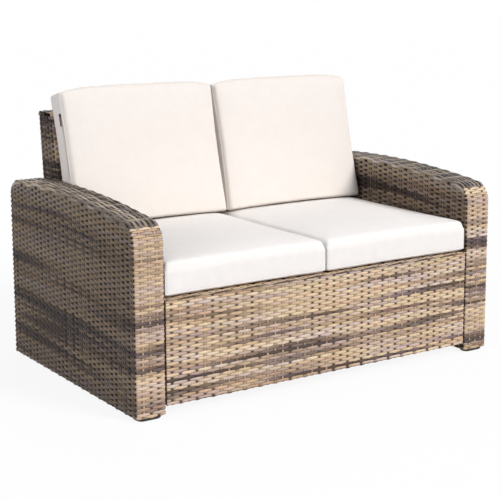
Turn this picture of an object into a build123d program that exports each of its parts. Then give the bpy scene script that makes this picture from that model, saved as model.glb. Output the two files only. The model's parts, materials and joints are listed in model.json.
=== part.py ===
from build123d import *
import math
import os

# A two-seat woven patio loveseat with loose seat and back cushions.
# Millimetres. X runs along the seat, Y from front to rear, Z up.
# The origin is on the ground, under the middle of the arms.

# Overall sizes
overall_width = 1220.0
arm_depth = 776.0
arm_width = 91.0
arm_crest_height = 548.0
arm_crest_behind_middle = 115.0
arm_top_radius = 3500.0
arm_front_corner = 60.0
arm_rear_corner = 55.0
arm_edge_round = 12.0

# Woven skins and the gaps between pieces
weave = 4.0
weld_gap = 0.3
joint_gap = 2.0
overrun = 20.0

# Round tube of the arms
hoop_tube = 19.0
hoop_wall = 1.2
spreader_tube = 16.0
spreader_heights = (150.0, 400.0)

# Square tubes of the seat, the back and the arms' inner rails
frame_tube = 25.0
frame_wall = 1.5
arm_rail_tube = 20.0

# Glides under the arms
glide_height = 12.0
glide_length = 36.0
glide_set_back = 4.0
glide_width = 83.0
glide_edge = 3.0
plug_length = 20.0

# Front skirt and seat deck
skirt_bottom = 28.5
skirt_top = 313.0
skirt_set_back = 3.0
skirt_post_place = 170.0
skirt_edge_round = 3.0
cross_bar_place = 250.0

# Back panel: its front and rear faces lean at different angles
back_top = 740.0
back_set_in = 108.0
back_top_thickness = 90.0
back_front_lean = 9.0
back_rear_lean = 5.0
back_top_round = 14.0
back_side_round = 4.0
back_rail_drop = 9.0

# Seat cushions
seat_cushion_rear_gap = 12.37
seat_cushion_set_back = 6.0
cushion_side_gap = 1.5
seat_boxing = 62.0
seat_crown = 34.0
cushion_corner = 26.0
cushion_draw_in = 4.0

# Back cushions
back_cushion_lean = 13.5
back_cushion_height = 380.0
back_cushion_boxing = 56.0
back_cushion_crown = 30.0
back_cushion_arch = 16.0
seat_dip_under_back = 4.3

# Cushion edges and inner pieces
lower_edge_height = 12.0
lower_edge_inset = 9.0
cover_thickness = 2.0
core_gap = 0.3

# Zips and their sliders
zip_width = 10.0
zip_thickness = 1.4
seat_zip_length = 400.0
back_zip_length = 190.0
back_zip_from_top = 62.0
slider_width = 8.0
slider_length = 12.0
slider_thickness = 3.4
pull_width = 6.0
pull_length = 26.0
pull_thickness = 1.4

# Screws, washers and threaded inserts
screw_radius = 3.0
screw_head_radius = 5.5
screw_head_height = 3.3
screw_socket_radius = 2.0
screw_socket_depth = 1.8
seat_screw_length = 45.0
back_screw_length = 50.0
screw_clearance = 0.3
thread_clearance = 0.05
washer_radius = 7.5
washer_thickness = 1.6
insert_radius = 4.5
insert_length = 14.0
insert_clearance = 0.1
seat_screw_front_set_in = 88.0
seat_screw_rear_set_in = 248.0
back_screw_heights = (110.0, 440.0)

# Cushion edges are quarter rounds in steps; the crown's is fuller than an ellipse
lower_edge_steps = 4
crown_steps = 10
crown_fullness_share = 0.7
crown_reach_share = 0.36

# Places worked out from the sizes above
half_width = overall_width / 2
arm_inner = half_width - arm_width
half_depth = arm_depth / 2
arm_middle = half_width - arm_width / 2
hoop_inset = weave + weld_gap + hoop_tube / 2
inner_hoop_x = arm_inner + hoop_inset
outer_hoop_x = half_width - hoop_inset
bottom_rail_height = glide_height + hoop_tube
arm_rail_x = arm_inner + weave + weld_gap + arm_rail_tube / 2

panel_half = arm_inner - joint_gap
skirt_front = -half_depth + skirt_set_back
rail_front = skirt_front + weave + weld_gap
rail_top = skirt_top - weave
rail_middle_height = rail_top - frame_tube / 2
deck_front = rail_front + frame_tube + weld_gap
frame_inner = frame_tube - 2 * frame_wall
arm_rail_inner = arm_rail_tube - 2 * frame_wall
screw_hole = screw_radius + screw_clearance
insert_hole = insert_radius + insert_clearance

seat_cushion_front = -half_depth + seat_cushion_set_back
seat_cushion_bottom = skirt_top + weld_gap
cushion_width = arm_inner - 2 * cushion_side_gap
cushion_place = arm_inner / 2
seat_cushion_total = lower_edge_height + seat_boxing + seat_crown
seat_cushion_top = seat_cushion_bottom + seat_cushion_total
back_cushion_bottom = seat_cushion_top - seat_dip_under_back
seat_zip_height = seat_cushion_bottom + lower_edge_height + seat_boxing / 2

os.makedirs("parts", exist_ok=True)


def save(part, name):
    part.label = name
    export_step(part, "parts/" + name + ".step")


def leaning_plane(y, z, lean):
    """A plane whose Y runs up a face that leans back, and whose Z points forward out of it."""
    angle = math.radians(lean)
    return Plane(origin=(0, y, z), x_dir=(1, 0, 0), z_dir=(0, -math.cos(angle), math.sin(angle)))


def drill(places, radius, middle, reach):
    """Cuts round holes along X through the part being built, to reach on both sides of middle."""
    with BuildSketch(Plane.YZ.offset(middle)) as holes:
        with Locations(*places):
            Circle(radius)
    extrude(holes.sketch, amount=reach, both=True, mode=Mode.SUBTRACT)


def square_tube(base, length, side, inner):
    """An open square tube that starts at base and runs along its Z."""
    with BuildPart() as tube:
        with BuildSketch(base):
            Rectangle(side, side)
            Rectangle(inner, inner, mode=Mode.SUBTRACT)
        extrude(amount=length)
    return tube.part


def tube_along_x(middle_y, middle_z, start, length):
    base = Plane(origin=(start, middle_y, middle_z), x_dir=(0, 1, 0), z_dir=(1, 0, 0))
    return square_tube(base, length, frame_tube, frame_inner)


def tube_along_y(x, start, length, side, inner):
    """A tube from front to rear, at the height of the seat's rails."""
    base = Plane(origin=(x, start, rail_middle_height), x_dir=(1, 0, 0), z_dir=(0, 1, 0))
    return square_tube(base, length, side, inner)


# Back panel faces
back_front_slope = math.tan(math.radians(back_front_lean))
back_rear_slope = math.tan(math.radians(back_rear_lean))
back_height = back_top - skirt_bottom
back_top_front = half_depth - back_set_in
back_front_foot = back_top_front - back_height * back_front_slope
back_rear_foot = back_top_front + back_top_thickness - back_height * back_rear_slope
back_tube_depth = weave + weld_gap + frame_tube / 2
deck_rear = back_front_foot + (rail_top - frame_tube - skirt_bottom) * back_front_slope - weld_gap
panel_at_seat = back_front_foot + (skirt_top - skirt_bottom) * back_front_slope
seat_cushion_depth = panel_at_seat - seat_cushion_rear_gap - seat_cushion_front
seat_cushion_middle = seat_cushion_front + seat_cushion_depth / 2
rear_rail_front = deck_rear - frame_tube
front_face = leaning_plane(back_front_foot, skirt_bottom, back_front_lean)
rear_face = leaning_plane(back_rear_foot, skirt_bottom, back_rear_lean)


def upright_point(height):
    """Where the middle line of the back's front uprights passes a height."""
    lean = math.radians(back_front_lean)
    run = height - skirt_bottom + back_tube_depth * math.sin(lean)
    y = back_front_foot + back_tube_depth * math.cos(lean) + run * math.tan(lean)
    return (y, height)


seat_screw_front = -half_depth + seat_screw_front_set_in
seat_screw_rear = half_depth - seat_screw_rear_set_in
seat_screw_places = (seat_screw_front, (seat_screw_front + seat_screw_rear) / 2, seat_screw_rear)
seat_screws = [(y, rail_middle_height) for y in seat_screw_places]
back_screws = [upright_point(height) for height in back_screw_heights]


# Arms
def arm_top_height(y, inset):
    """Height of the arm's long top arc, or of the same arc moved inwards."""
    reach = y - arm_crest_behind_middle
    radius = arm_top_radius - inset
    return arm_crest_height - arm_top_radius + math.sqrt(radius**2 - reach**2)


def arm_outline(plane, inset, low):
    """The arm seen from the side, moved inwards by inset."""
    front = -half_depth + inset
    rear = half_depth - inset
    with BuildSketch(plane) as area:
        with BuildLine():
            Line((rear, arm_top_height(rear, inset)), (rear, low))
            Line((rear, low), (front, low))
            Line((front, low), (front, arm_top_height(front, inset)))
            ThreePointArc(
                (front, arm_top_height(front, inset)),
                (0, arm_top_height(0, inset)),
                (rear, arm_top_height(rear, inset)),
            )
        make_face()
        fillet(area.vertices().group_by(Axis.X)[-1].sort_by(Axis.Y)[-1], arm_rear_corner - inset)
        fillet(area.vertices().group_by(Axis.X)[0].sort_by(Axis.Y)[-1], arm_front_corner - inset)
    return area.sketch


def arm_skin(side):
    """The woven skin: sides, front, top and rear in one, open below."""
    middle = Plane.YZ.offset(side * arm_middle)
    with BuildPart() as skin:
        extrude(arm_outline(middle, 0, glide_height), amount=arm_width / 2, both=True)
        rims = skin.faces().filter_by(Axis.X).edges()
        fillet(rims.filter_by(lambda edge: edge.center().Z > glide_height + overrun), arm_edge_round)
        inside = arm_outline(middle, weave, glide_height - overrun)
        extrude(inside, amount=arm_width / 2 - weave, both=True, mode=Mode.SUBTRACT)
        drill(seat_screws + back_screws, insert_hole, side * arm_inner, overrun)
    return skin.part


def hoop(x):
    """A bent tube: front post, arched top and rear post."""
    area = arm_outline(Plane.YZ.offset(x), hoop_inset, glide_height)
    path = Wire(area.edges().sort_by(Axis.Z)[1:])
    with BuildPart() as tube:
        with BuildSketch(Plane(origin=path @ 0, z_dir=path % 0)):
            Circle(hoop_tube / 2)
            Circle(hoop_tube / 2 - hoop_wall, mode=Mode.SUBTRACT)
        sweep(path=path)
    return tube.part


def bottom_rails(side):
    """Straight tubes between the posts of both hoops, just above the ground."""
    start = -half_depth + hoop_inset + hoop_tube / 2 + weld_gap
    with BuildPart() as rails:
        with BuildSketch(Plane.XZ.offset(-start)):
            with Locations(*[(side * x, bottom_rail_height) for x in (inner_hoop_x, outer_hoop_x)]):
                Circle(hoop_tube / 2)
                Circle(hoop_tube / 2 - hoop_wall, mode=Mode.SUBTRACT)
        extrude(amount=2 * start)
    return rails.part


def arm_spreaders(side):
    """Short tubes that hold the two hoops apart, at the front and rear posts."""
    post = half_depth - hoop_inset
    length = outer_hoop_x - inner_hoop_x - hoop_tube - 2 * weld_gap
    places = [(y, z) for y in (-post, post) for z in spreader_heights]
    with BuildPart() as spreaders:
        with BuildSketch(Plane.YZ.offset(side * arm_middle)):
            with Locations(*places):
                Circle(spreader_tube / 2)
                Circle(spreader_tube / 2 - hoop_wall, mode=Mode.SUBTRACT)
        extrude(amount=length / 2, both=True)
    return spreaders.part


def arm_upright(side):
    """The leaning tube in the arm that takes the back panel's screws."""
    lean = math.radians(back_front_lean)
    low = bottom_rail_height + hoop_tube / 2 + weld_gap + arm_rail_tube * math.sin(lean)
    top_y = upright_point(arm_crest_height)[0]
    high = arm_top_height(top_y, hoop_inset + hoop_tube) - arm_rail_tube * math.sin(lean)
    foot_y = upright_point(low)[0]
    base = Plane(
        origin=(side * arm_rail_x, foot_y, low), x_dir=(1, 0, 0), z_dir=(0, math.sin(lean), math.cos(lean))
    )
    with BuildPart() as upright:
        add(square_tube(base, (high - low) / math.cos(lean), arm_rail_tube, arm_rail_inner))
        drill(back_screws, insert_hole, side * arm_inner, overrun)
    return upright.part


def arm_seat_rail(side):
    """The level tube in the arm that takes the seat's screws."""
    start = -half_depth + hoop_inset + hoop_tube / 2 + weld_gap
    lean = math.radians(back_front_lean)
    upright_middle = upright_point(rail_middle_height - arm_rail_tube / 2)[0]
    length = upright_middle - arm_rail_tube / 2 / math.cos(lean) - weld_gap - start
    with BuildPart() as rail:
        add(tube_along_y(side * arm_rail_x, start, length, arm_rail_tube, arm_rail_inner))
        drill(seat_screws, insert_hole, side * arm_inner, overrun)
    return rail.part


def arm_glides(side):
    """Front and rear glides, each with two plugs that stand in the hoops' open ends."""
    post = half_depth - hoop_inset
    pad = half_depth - glide_set_back - glide_length / 2
    with BuildPart() as glides:
        with BuildSketch(Plane.XY):
            with Locations((side * arm_middle, -pad), (side * arm_middle, pad)):
                Rectangle(glide_width, glide_length)
        extrude(amount=glide_height)
        chamfer(glides.edges().group_by(Axis.Z)[0], glide_edge)
        with BuildSketch(Plane.XY.offset(glide_height)):
            with Locations(*[(side * x, y) for x in (inner_hoop_x, outer_hoop_x) for y in (-post, post)]):
                Circle(hoop_tube / 2 - hoop_wall - weld_gap)
        extrude(amount=plug_length)
    return glides.part


for name, side in (("arm_left", -1), ("arm_right", 1)):
    save(arm_skin(side), name + "_weave")
    save(hoop(side * inner_hoop_x), name + "_inner_hoop")
    save(hoop(side * outer_hoop_x), name + "_outer_hoop")
    save(bottom_rails(side), name + "_bottom_rails")
    save(arm_spreaders(side), name + "_spreaders")
    save(arm_upright(side), name + "_back_upright")
    save(arm_seat_rail(side), name + "_seat_rail")
    save(arm_glides(side), name + "_glides")


# Seat frame
with BuildPart() as seat_front_rail:
    add(tube_along_x(rail_front + frame_tube / 2, rail_middle_height, -arm_inner, 2 * arm_inner))
save(seat_front_rail.part, "seat_front_rail")

with BuildPart() as seat_rear_rail:
    add(tube_along_x(rear_rail_front + frame_tube / 2, rail_middle_height, -arm_inner, 2 * arm_inner))
save(seat_rear_rail.part, "seat_rear_rail")

side_rail_start = rail_front + frame_tube
side_rail_length = rear_rail_front - side_rail_start
side_rail_x = arm_inner - frame_tube / 2
for name, side in (("seat_left_rail", -1), ("seat_right_rail", 1)):
    with BuildPart() as side_rail:
        add(tube_along_y(side * side_rail_x, side_rail_start, side_rail_length, frame_tube, frame_inner))
        drill(seat_screws, screw_hole, side * side_rail_x, frame_tube)
    save(side_rail.part, name)

with BuildPart() as seat_cross_bars:
    for x in (-cross_bar_place, 0, cross_bar_place):
        add(tube_along_y(x, side_rail_start, side_rail_length, frame_tube, frame_inner))
save(seat_cross_bars.part, "seat_cross_bars")

with BuildPart() as seat_deck_weave:
    with BuildSketch(Plane.XY.offset(rail_top)):
        with Locations((0, (deck_front + deck_rear) / 2)):
            Rectangle(2 * panel_half, deck_rear - deck_front)
    extrude(amount=weave)
save(seat_deck_weave.part, "seat_deck_weave")


# Front skirt: a woven wrap over the front rail and a lower rail
skirt_depth = weave + weld_gap + frame_tube
skirt_height = skirt_top - skirt_bottom
with BuildPart() as skirt_weave:
    with BuildSketch(Plane.YZ.offset(-panel_half)):
        with Locations((skirt_front + skirt_depth / 2, skirt_bottom + skirt_height / 2)):
            Rectangle(skirt_depth, skirt_height)
        with Locations((skirt_front + weave + skirt_depth / 2, skirt_bottom + skirt_height / 2)):
            Rectangle(skirt_depth, skirt_height - 2 * weave, mode=Mode.SUBTRACT)
    extrude(amount=2 * panel_half)
    fillet(skirt_weave.faces().sort_by(Axis.Y)[0].edges().filter_by(Axis.X), skirt_edge_round)
save(skirt_weave.part, "skirt_weave")

lower_rail_height = skirt_bottom + weave + weld_gap + frame_tube / 2
with BuildPart() as skirt_lower_rail:
    add(tube_along_x(rail_front + frame_tube / 2, lower_rail_height, -arm_inner, 2 * arm_inner))
save(skirt_lower_rail.part, "skirt_lower_rail")

post_foot = lower_rail_height + frame_tube / 2
post_length = rail_top - frame_tube - post_foot
with BuildPart() as skirt_posts:
    for x in (-side_rail_x, -skirt_post_place, skirt_post_place, side_rail_x):
        base = Plane(origin=(x, rail_front + frame_tube / 2, post_foot))
        add(square_tube(base, post_length, frame_tube, frame_inner))
save(skirt_posts.part, "skirt_posts")


# Back panel
def back_outline(inset, low):
    """The back panel seen from the side, moved inwards by inset."""
    front_inset = inset / math.cos(math.radians(back_front_lean))
    rear_inset = inset / math.cos(math.radians(back_rear_lean))
    drop = skirt_bottom - low
    top = back_top - inset
    with BuildSketch(Plane.YZ) as area:
        with BuildLine():
            Polyline(
                (back_front_foot - drop * back_front_slope + front_inset, low),
                (back_top_front - inset * back_front_slope + front_inset, top),
                (back_top_front + back_top_thickness - inset * back_rear_slope - rear_inset, top),
                (back_rear_foot - drop * back_rear_slope - rear_inset, low),
                close=True,
            )
        make_face()
        fillet(area.vertices().group_by(Axis.Y)[-1], back_top_round - inset)
    return area.sketch


with BuildPart() as back_weave:
    extrude(back_outline(0, skirt_bottom), amount=panel_half, both=True)
    back_rims = back_weave.faces().filter_by(Axis.X).edges()
    fillet(back_rims.filter_by(lambda edge: edge.center().Z > skirt_bottom + overrun), back_side_round)
    hollow = back_outline(weave, skirt_bottom - overrun)
    extrude(hollow, amount=panel_half - weave, both=True, mode=Mode.SUBTRACT)
    drill(back_screws, screw_hole, 0, half_width)
save(back_weave.part, "back_weave")

upright_x = panel_half - weave - weld_gap - frame_tube / 2


def back_frame(middle, lean, screwed, name):
    """Two rails and three uprights behind one face of the panel, some of them drilled for screws."""
    slope_length = (back_top - skirt_bottom) / math.cos(math.radians(lean))
    low_rail = back_rail_drop + frame_tube / 2
    high_rail = slope_length - back_rail_drop - weave - frame_tube / 2
    upright_foot = low_rail + frame_tube / 2
    upright_length = high_rail - low_rail - frame_tube
    rail_length = 2 * upright_x + frame_tube
    with BuildPart() as rails:
        for place in (low_rail, high_rail):
            origin = middle.from_local_coords((-rail_length / 2, place, 0))
            base = Plane(origin, x_dir=middle.z_dir, z_dir=(1, 0, 0))
            add(square_tube(base, rail_length, frame_tube, frame_inner))
    save(rails.part, name + "_rails")
    with BuildPart() as uprights:
        for x in (-upright_x, 0, upright_x):
            origin = middle.from_local_coords((x, upright_foot, 0))
            base = Plane(origin, x_dir=(1, 0, 0), z_dir=middle.y_dir)
            add(square_tube(base, upright_length, frame_tube, frame_inner))
        for x in screwed:
            drill(back_screws, screw_hole, x, frame_tube)
    save(uprights.part, name + "_uprights")
    return middle.from_local_coords((0, high_rail, 0)), middle.from_local_coords((0, low_rail, 0))


front_middle = front_face.offset(-back_tube_depth)
rear_middle = rear_face.offset(back_tube_depth)
outer_uprights = (-upright_x, upright_x)
front_high, front_low = back_frame(front_middle, back_front_lean, outer_uprights, "back_front")
rear_high, rear_low = back_frame(rear_middle, back_rear_lean, (), "back_rear")

tie_end_gap = frame_tube / 2 / math.cos(math.radians(back_front_lean)) + frame_tube / 2 * back_front_slope
with BuildPart() as back_ties:
    for front_point, rear_point in ((front_high, rear_high), (front_low, rear_low)):
        height = min(front_point.Z, rear_point.Z)
        start = front_point.Y + tie_end_gap
        length = rear_point.Y - tie_end_gap - start
        for x in (-upright_x, 0, upright_x):
            with BuildSketch(Plane.XZ.offset(-start)):
                with Locations((x, height)):
                    Circle(spreader_tube / 2)
                    Circle(spreader_tube / 2 - hoop_wall, mode=Mode.SUBTRACT)
            extrude(amount=-length)
save(back_ties.part, "back_ties")


# Screws, washers and inserts
def hardware(places, seat_face, length, name):
    """Screws along X from inside the seat or the back into the arms, with washers and inserts."""
    head_face = seat_face - washer_thickness
    insert_face = arm_inner + weave + weld_gap
    with BuildPart() as screws:
        for side in (-1, 1):
            with BuildSketch(Plane.YZ.offset(side * head_face)):
                with Locations(*places):
                    Circle(screw_head_radius)
            extrude(amount=-side * screw_head_height)
            with BuildSketch(Plane.YZ.offset(side * head_face)):
                with Locations(*places):
                    Circle(screw_radius)
            extrude(amount=side * length)
            with BuildSketch(Plane.YZ.offset(side * (head_face - screw_head_height))):
                with Locations(*places):
                    RegularPolygon(screw_socket_radius, 6)
            extrude(amount=side * screw_socket_depth, mode=Mode.SUBTRACT)
    save(screws.part, name + "_screws")
    with BuildPart() as washers:
        for side in (-1, 1):
            with BuildSketch(Plane.YZ.offset(side * head_face)):
                with Locations(*places):
                    Circle(washer_radius)
                    Circle(screw_hole, mode=Mode.SUBTRACT)
            extrude(amount=side * washer_thickness)
    save(washers.part, name + "_washers")
    with BuildPart() as inserts:
        for side in (-1, 1):
            with BuildSketch(Plane.YZ.offset(side * insert_face)):
                with Locations(*places):
                    Circle(insert_radius)
                    Circle(screw_radius + thread_clearance, mode=Mode.SUBTRACT)
            extrude(amount=side * insert_length)
    save(inserts.part, name + "_inserts")


hardware(seat_screws, arm_inner - frame_tube, seat_screw_length, "seat")
hardware(back_screws, upright_x - frame_tube / 2, back_screw_length, "back")


# Cushions
def cushion_outline(plane, width, depth, corner, far_bow, side_bow):
    """A rounded rectangle whose sides draw in by side_bow; far_bow swells the far side outwards."""
    x = width / 2
    y = depth / 2
    slant = corner * (1 - math.cos(math.radians(45)))
    with BuildSketch(plane) as area:
        with BuildLine():
            ThreePointArc((-x + corner, -y), (0, -y + side_bow), (x - corner, -y))
            ThreePointArc((x - corner, -y), (x - slant, -y + slant), (x, -y + corner))
            ThreePointArc((x, -y + corner), (x - side_bow, 0), (x, y - corner))
            ThreePointArc((x, y - corner), (x - slant, y - slant), (x - corner, y))
            ThreePointArc((x - corner, y), (0, y + far_bow), (-x + corner, y))
            ThreePointArc((-x + corner, y), (-x + slant, y - slant), (-x, y - corner))
            ThreePointArc((-x, y - corner), (-x + side_bow, 0), (-x, -y + corner))
            ThreePointArc((-x, -y + corner), (-x + slant, -y + slant), (-x + corner, -y))
        make_face()
    return area.sketch


def cushion_form(base, width, depth, boxing, crown, far_bow, shrink):
    """A box cushion on a base plane: rounded lower edge, straight boxing, crowned face."""
    full_width = width - 2 * shrink
    full_depth = depth - 2 * shrink
    corner = cushion_corner - shrink
    reach = crown_reach_share * min(width, depth)
    edge_height = lower_edge_height - shrink
    crown_start = lower_edge_height + boxing

    def layer(height, inset):
        shape_width = full_width - 2 * inset
        shape_depth = full_depth - 2 * inset
        softness = 1 - inset / (full_width / 2)
        bows = (far_bow * softness, cushion_draw_in * softness)
        return cushion_outline(base.offset(height), shape_width, shape_depth, corner, *bows)

    lower = []
    for step in range(lower_edge_steps + 1):
        turn = math.radians(90) * step / lower_edge_steps
        height = lower_edge_height - edge_height * math.cos(turn)
        lower.append(layer(height, lower_edge_inset * (1 - math.sin(turn))))
    upper = []
    for step in range(crown_steps + 1):
        turn = math.radians(90) * step / crown_steps
        height = crown_start + (crown - shrink) * math.sin(turn) ** crown_fullness_share
        upper.append(layer(height, reach * (1 - math.cos(turn))))
    with BuildPart() as form:
        loft(lower, ruled=True)
        extrude(layer(lower_edge_height, 0), amount=boxing)
        loft(upper, ruled=True)
    return form.part


def trimmed(form, height):
    """A cushion form cut level at a height, where it stands on what is below it."""
    with BuildPart() as piece:
        add(form)
        split(bisect_by=Plane.XY.offset(height), keep=Keep.TOP)
    return piece.part


def seat_form(side, shrink):
    base = Plane(origin=(side * cushion_place, seat_cushion_middle, seat_cushion_bottom))
    sizes = (cushion_width, seat_cushion_depth, seat_boxing, seat_crown, -cushion_draw_in)
    return cushion_form(base, *sizes, shrink)


# A back cushion leans on the round at the panel's top front edge
back_lean = math.radians(back_cushion_lean)
round_height = back_top - back_top_round
round_face = back_top_front - back_top_round * back_front_slope
round_middle = round_face + back_top_round / math.cos(math.radians(back_front_lean))
round_reach = (back_top_round + weld_gap) / math.cos(back_lean)
back_rear_foot_y = round_middle - round_reach - (round_height - back_cushion_bottom) * math.tan(back_lean)
back_cushion_thickness = lower_edge_height + back_cushion_boxing
back_cushion_drop = back_cushion_thickness * math.tan(back_lean) + lower_edge_inset
back_cushion_full = back_cushion_height + back_cushion_drop
back_cushion_face = leaning_plane(back_rear_foot_y, back_cushion_bottom, back_cushion_lean)


def back_base(side):
    middle = back_cushion_full / 2 - back_cushion_drop
    return Plane(
        origin=back_cushion_face.from_local_coords((side * cushion_place, middle, 0)),
        x_dir=(1, 0, 0),
        z_dir=back_cushion_face.z_dir,
    )


def back_form(side, shrink):
    sizes = (cushion_width, back_cushion_full, back_cushion_boxing, back_cushion_crown, back_cushion_arch)
    return trimmed(cushion_form(back_base(side), *sizes, shrink), back_cushion_bottom + shrink)


def save_cushion(form, side, name):
    with BuildPart() as cover:
        add(form(side, 0))
        add(form(side, cover_thickness), mode=Mode.SUBTRACT)
    save(cover.part, name + "_cover")
    with BuildPart() as core:
        add(form(side, cover_thickness + core_gap))
    save(core.part, name + "_core")


def drawn_side(place, half_run, bow):
    """How far a drawn-in side lies inwards of its corners, at a place along it."""
    radius = (half_run**2 + bow**2) / (2 * bow)
    return bow - radius + math.sqrt(radius**2 - place**2)


def save_zip(plane, length, middle, half_run, name):
    """A zip on a drawn-in side. The plane's X runs along the side and its Y points out of it."""

    def face_at(place):
        return weld_gap - drawn_side(place, half_run, cushion_draw_in)

    start = middle - length / 2
    end = middle + length / 2
    with BuildPart() as tape:
        with BuildSketch(plane):
            with BuildLine():
                ThreePointArc((start, face_at(start)), (middle, face_at(middle)), (end, face_at(end)))
                Line((end, face_at(end)), (end, face_at(end) + zip_thickness))
                ThreePointArc(
                    (end, face_at(end) + zip_thickness),
                    (middle, face_at(middle) + zip_thickness),
                    (start, face_at(start) + zip_thickness),
                )
                Line((start, face_at(start) + zip_thickness), (start, face_at(start)))
            make_face()
        extrude(amount=zip_width / 2, both=True)
    save(tape.part, name + "_zip")
    slider_face = face_at(start) + zip_thickness + weld_gap
    with BuildPart() as slider:
        with BuildSketch(plane):
            with Locations((start + slider_length / 2, slider_face + slider_thickness / 2)):
                Rectangle(slider_length, slider_thickness)
        extrude(amount=slider_width / 2, both=True)
        fillet(slider.edges().filter_by(Axis(plane.origin, plane.z_dir)), pull_thickness / 2)
        pull_start = start + slider_length - pull_thickness
        with BuildSketch(plane):
            with Locations((pull_start + pull_length / 2, slider_face + slider_thickness / 2)):
                Rectangle(pull_length, pull_thickness)
        extrude(amount=pull_width / 2, both=True)
    save(slider.part, name + "_zip_slider")


for name, side in (("left", -1), ("right", 1)):
    save_cushion(seat_form, side, "seat_cushion_" + name)
    origin = (side * cushion_place, seat_cushion_front + seat_cushion_depth, seat_zip_height)
    seat_zip_plane = Plane(origin=origin, x_dir=(-1, 0, 0), z_dir=(0, 0, -1))
    seat_half_run = cushion_width / 2 - cushion_corner
    save_zip(seat_zip_plane, seat_zip_length, 0, seat_half_run, "seat_cushion_" + name)

for name, side in (("left", -1), ("right", 1)):
    save_cushion(back_form, side, "back_cushion_" + name)
    zip_place = back_cushion_boxing + lower_edge_height - zip_width / 2
    origin = back_base(side).from_local_coords((side * cushion_width / 2, 0, zip_place))
    down_slope = back_cushion_face.y_dir * -1
    back_zip_plane = Plane(origin=origin, x_dir=down_slope, z_dir=down_slope.cross(Vector(side, 0, 0)))
    back_half_run = back_cushion_full / 2 - cushion_corner
    zip_start = -back_cushion_full / 2 + back_zip_from_top
    zip_centre = zip_start + back_zip_length / 2
    save_zip(back_zip_plane, back_zip_length, zip_centre, back_half_run, "back_cushion_" + name)
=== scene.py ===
import json
import math

import bpy
import numpy as np
from mathutils import Matrix, Vector
from mathutils.kdtree import KDTree


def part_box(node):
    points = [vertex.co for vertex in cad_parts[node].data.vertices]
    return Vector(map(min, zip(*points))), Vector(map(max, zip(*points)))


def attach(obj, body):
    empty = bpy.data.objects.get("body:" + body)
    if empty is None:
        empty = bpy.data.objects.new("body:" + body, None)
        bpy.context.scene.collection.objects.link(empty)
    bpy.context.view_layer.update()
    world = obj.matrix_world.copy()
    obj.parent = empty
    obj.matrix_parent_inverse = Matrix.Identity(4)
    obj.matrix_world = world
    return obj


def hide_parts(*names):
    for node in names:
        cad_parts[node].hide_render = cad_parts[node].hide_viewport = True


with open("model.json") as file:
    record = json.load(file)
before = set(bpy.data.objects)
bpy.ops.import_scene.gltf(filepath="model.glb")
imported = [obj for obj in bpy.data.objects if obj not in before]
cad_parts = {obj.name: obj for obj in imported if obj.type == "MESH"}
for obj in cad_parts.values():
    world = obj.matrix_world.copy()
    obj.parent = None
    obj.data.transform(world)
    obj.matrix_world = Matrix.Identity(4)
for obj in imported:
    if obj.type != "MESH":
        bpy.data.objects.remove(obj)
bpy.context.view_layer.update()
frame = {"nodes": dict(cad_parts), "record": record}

# The loveseat's looks: woven strands over the arms, the skirt, the seat deck and the back panel,
# sewn cushions with zips, plain finishes on the tubes and screws, a pale studio and a camera.
# Metres throughout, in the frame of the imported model.

# Camera, fitted to the photograph's straight edges
CAMERA_PLACE = (-2.0818, -3.135, 1.1098)
CAMERA_AZIMUTH = -33.5512
CAMERA_ELEVATION = 9.6697
CAMERA_ROLL = -0.1952
CAMERA_LENS = 91.4
CAMERA_SHIFT = -0.1
CAMERA_CLIP = (0.05, 100)

# Studio light: suns are azimuth from the front, elevation, strength, colour and softness in degrees
WHITE = (1.0, 1.0, 1.0, 1.0)
WORLD_COLOUR = (0.91, 0.96, 1.06, 1.0)
WORLD_STRENGTH = 0.34
FLOOR_COLOUR = (0.44, 0.45, 0.47, 1.0)
FLOOR_ROUGHNESS = 0.9
FLOOR_REACH = 30.0
FLOOR_GLOW_SHARE = 0.9
SUNS = (
    ("key", 24, 33, 2.68, (1.0, 0.975, 0.955), 22),
    ("fill", -84, 12, 1.35, (0.98, 0.97, 1.0), 40),
    ("rim", 150, 35, 0.5, (1.0, 1.0, 1.0), 30),
)

# Strands of the weave
STRAND_PITCH = 0.0075
STAKE_PITCH = 0.025
STRAND_THICKNESS = 0.0012
STRAND_SPREAD = 0.30
NARROWEST_ROW = 0.85 * STRAND_PITCH
WAVE_HEIGHT = 0.0017
WAVE_POWER = 2.0
STAKE_WIDTH = 0.0055
STAKE_THICKNESS = 0.0011
STAKE_SAMPLES = 24
WEAVE_DEPTH = 0.00235
SAMPLES_PER_STAKE = 6
BACK_PARTS = 4
EDGE_ALLOWANCE = 0.001

# Row numbers that give the stakes and the rim colours of their own
PANEL_STAKE_NUMBER = 200
ARM_CORNER_NUMBER = 240
ARM_END_NUMBER = 260
BACK_STAKE_NUMBER = 300
BACK_END_NUMBER = 360
RIM_NUMBER = 400

# Across a strand's section: shares of half its width and of half its thickness, and the quads of its end
SECTION_ACROSS_SHARES = np.array([-1.0, -0.72, 0.0, 0.72, 1.0, 0.0])
SECTION_HEIGHT_SHARES = np.array([-0.5, 0.75, 1.0, 0.75, -0.5, -1.0])
STRAND_END = np.array([[0, 1, 2, 5], [5, 2, 3, 4]])

# The arms' rounds and arch. Their widths, lengths and heights are read from the solids' boxes
ARM_EDGE_ROUND = 0.0095
ARM_HEM_DROP = 0.004
ARM_TOP_RADIUS = 3.5
ARM_CREST_PLACE = 0.115
ARM_FRONT_CORNER = 0.060
ARM_REAR_CORNER = 0.055
SHOULDER_TURN = math.radians(50)
SHOULDER_REACH = 0.12
SHOULDER_SAMPLES = 8
BAND_TAIL = 0.004
BAND_TUCK_TURN = math.radians(8)
TUCK_REACH = 0.012
TUCK_DEPTH = 0.003
OUTLINE_SAMPLES = 4000
ARM_SECTION_SAMPLES = 41
ARM_STAKES_EACH_WAY = 15
ARM_FRONT_STAKES = (-0.022, 0.0, 0.022)
LEAST_STEEPNESS = 0.6

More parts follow.
